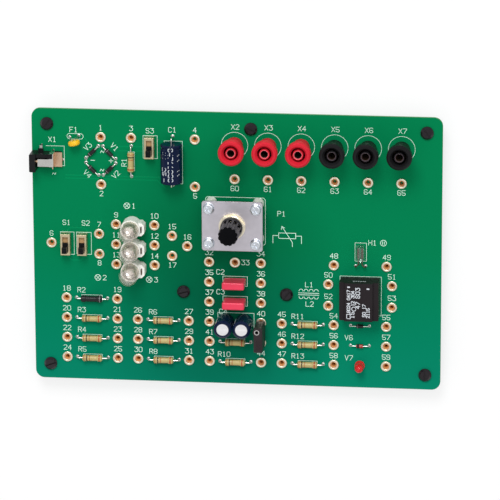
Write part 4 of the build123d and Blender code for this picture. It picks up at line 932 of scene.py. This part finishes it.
# the floor glows where it is seen, straight or in metal or through glass, and still takes the shadow
def makeFloor():
    pale = {"half": 3.0, "colour": (0.92, 0.92, 0.93), "roughness": 0.8, "glow": 0.72}
    mesh = bmesh.new()
    bmesh.ops.create_grid(mesh, x_segments=1, y_segments=1, size=pale["half"])
    floor = link("floor", mesh)
    material, shader = newMaterial("paleFloor", pale["colour"], pale["roughness"])
    tree = material.node_tree
    path = tree.nodes.new("ShaderNodeLightPath")
    seen = path.outputs["Is Camera Ray"]
    for output in ("Is Glossy Ray", "Is Transmission Ray"):
        more = operationOf(material, "ShaderNodeMath", "ADD")
        more.use_clamp = True
        tree.links.new(seen, more.inputs[0])
        tree.links.new(path.outputs[output], more.inputs[1])
        seen = more.outputs["Value"]
    share = operationOf(material, "ShaderNodeMath", "MULTIPLY")
    share.inputs[1].default_value = pale["glow"]
    tree.links.new(seen, share.inputs[0])
    glow = addNode(material, "ShaderNodeEmission", Color=(1, 1, 1, 1), Strength=1.0)
    mix = tree.nodes.new("ShaderNodeMixShader")
    tree.links.new(share.outputs["Value"], mix.inputs["Fac"])
    tree.links.new(shader.outputs["BSDF"], mix.inputs[1])
    tree.links.new(glow.outputs["Emission"], mix.inputs[2])
    tree.links.new(mix.outputs["Shader"], tree.nodes["Material Output"].inputs["Surface"])
    floor.data.materials.append(material)


# lamps hang round the object and all point at its middle
def makeLights():
    lamps = {
        "key": {"place": (-0.15, 1.7, 1.8), "size": 0.9, "power": 30},
        "fill": {"place": (0.5, 0.7, 2.0), "size": 1.6, "power": 13},
        "low": {"place": (-0.6, -1.2, 1.6), "size": 1.4, "power": 3},
    }
    for name, lamp in lamps.items():
        data = bpy.data.lights.new(name, "AREA")
        data.size = lamp["size"]
        data.energy = lamp["power"]
        light = bpy.data.objects.new(name, data)
        bpy.context.scene.collection.objects.link(light)
        light.location = lamp["place"]
        light.rotation_euler = (-Vector(lamp["place"])).to_track_quat("-Z", "Y").to_euler()


def makeWorld():
    studio = {"colour": (1, 1, 1, 1), "strength": 0.55}
    world = bpy.data.worlds.new("studio")
    world.use_nodes = True
    background = world.node_tree.nodes["Background"]
    background.inputs["Color"].default_value = studio["colour"]
    background.inputs["Strength"].default_value = studio["strength"]
    bpy.context.scene.world = world


# places in mm from the middle of the board's top
def makeCamera():
    view = {"place": (257, 629, 2170), "aim": (7.7, -0.1, 0), "rollDegrees": -0.18}
    lens = {"focalPixels": 4000, "imagePixels": 500, "sensor": 36.0, "clipEnd": 20}
    middle = Vector(((boardLow.x + boardHigh.x) / 2, (boardLow.y + boardHigh.y) / 2, boardTop))
    data = bpy.data.cameras.new("camera")
    data.sensor_width = lens["sensor"]
    data.lens = lens["focalPixels"] * lens["sensor"] / lens["imagePixels"]
    data.clip_end = lens["clipEnd"]
    camera = bpy.data.objects.new("camera", data)
    bpy.context.scene.collection.objects.link(camera)
    camera.location = middle + Vector(view["place"]) * mm
    aim = middle + Vector(view["aim"]) * mm
    forward = (aim - camera.location).normalized()
    right = forward.cross(Vector((0, 1, 0))).normalized()
    up = right.cross(forward)
    turn = Matrix.Rotation(math.radians(-view["rollDegrees"]), 3, forward)
    basis = Matrix((turn @ right, turn @ up, -(turn @ forward))).transposed()
    camera.rotation_euler = basis.to_euler()
    bpy.context.scene.camera = camera


makeFloor()
makeLights()
makeWorld()
makeCamera()
bpy.context.scene.view_settings.view_transform = "Standard"
print("stage, lights and camera made")
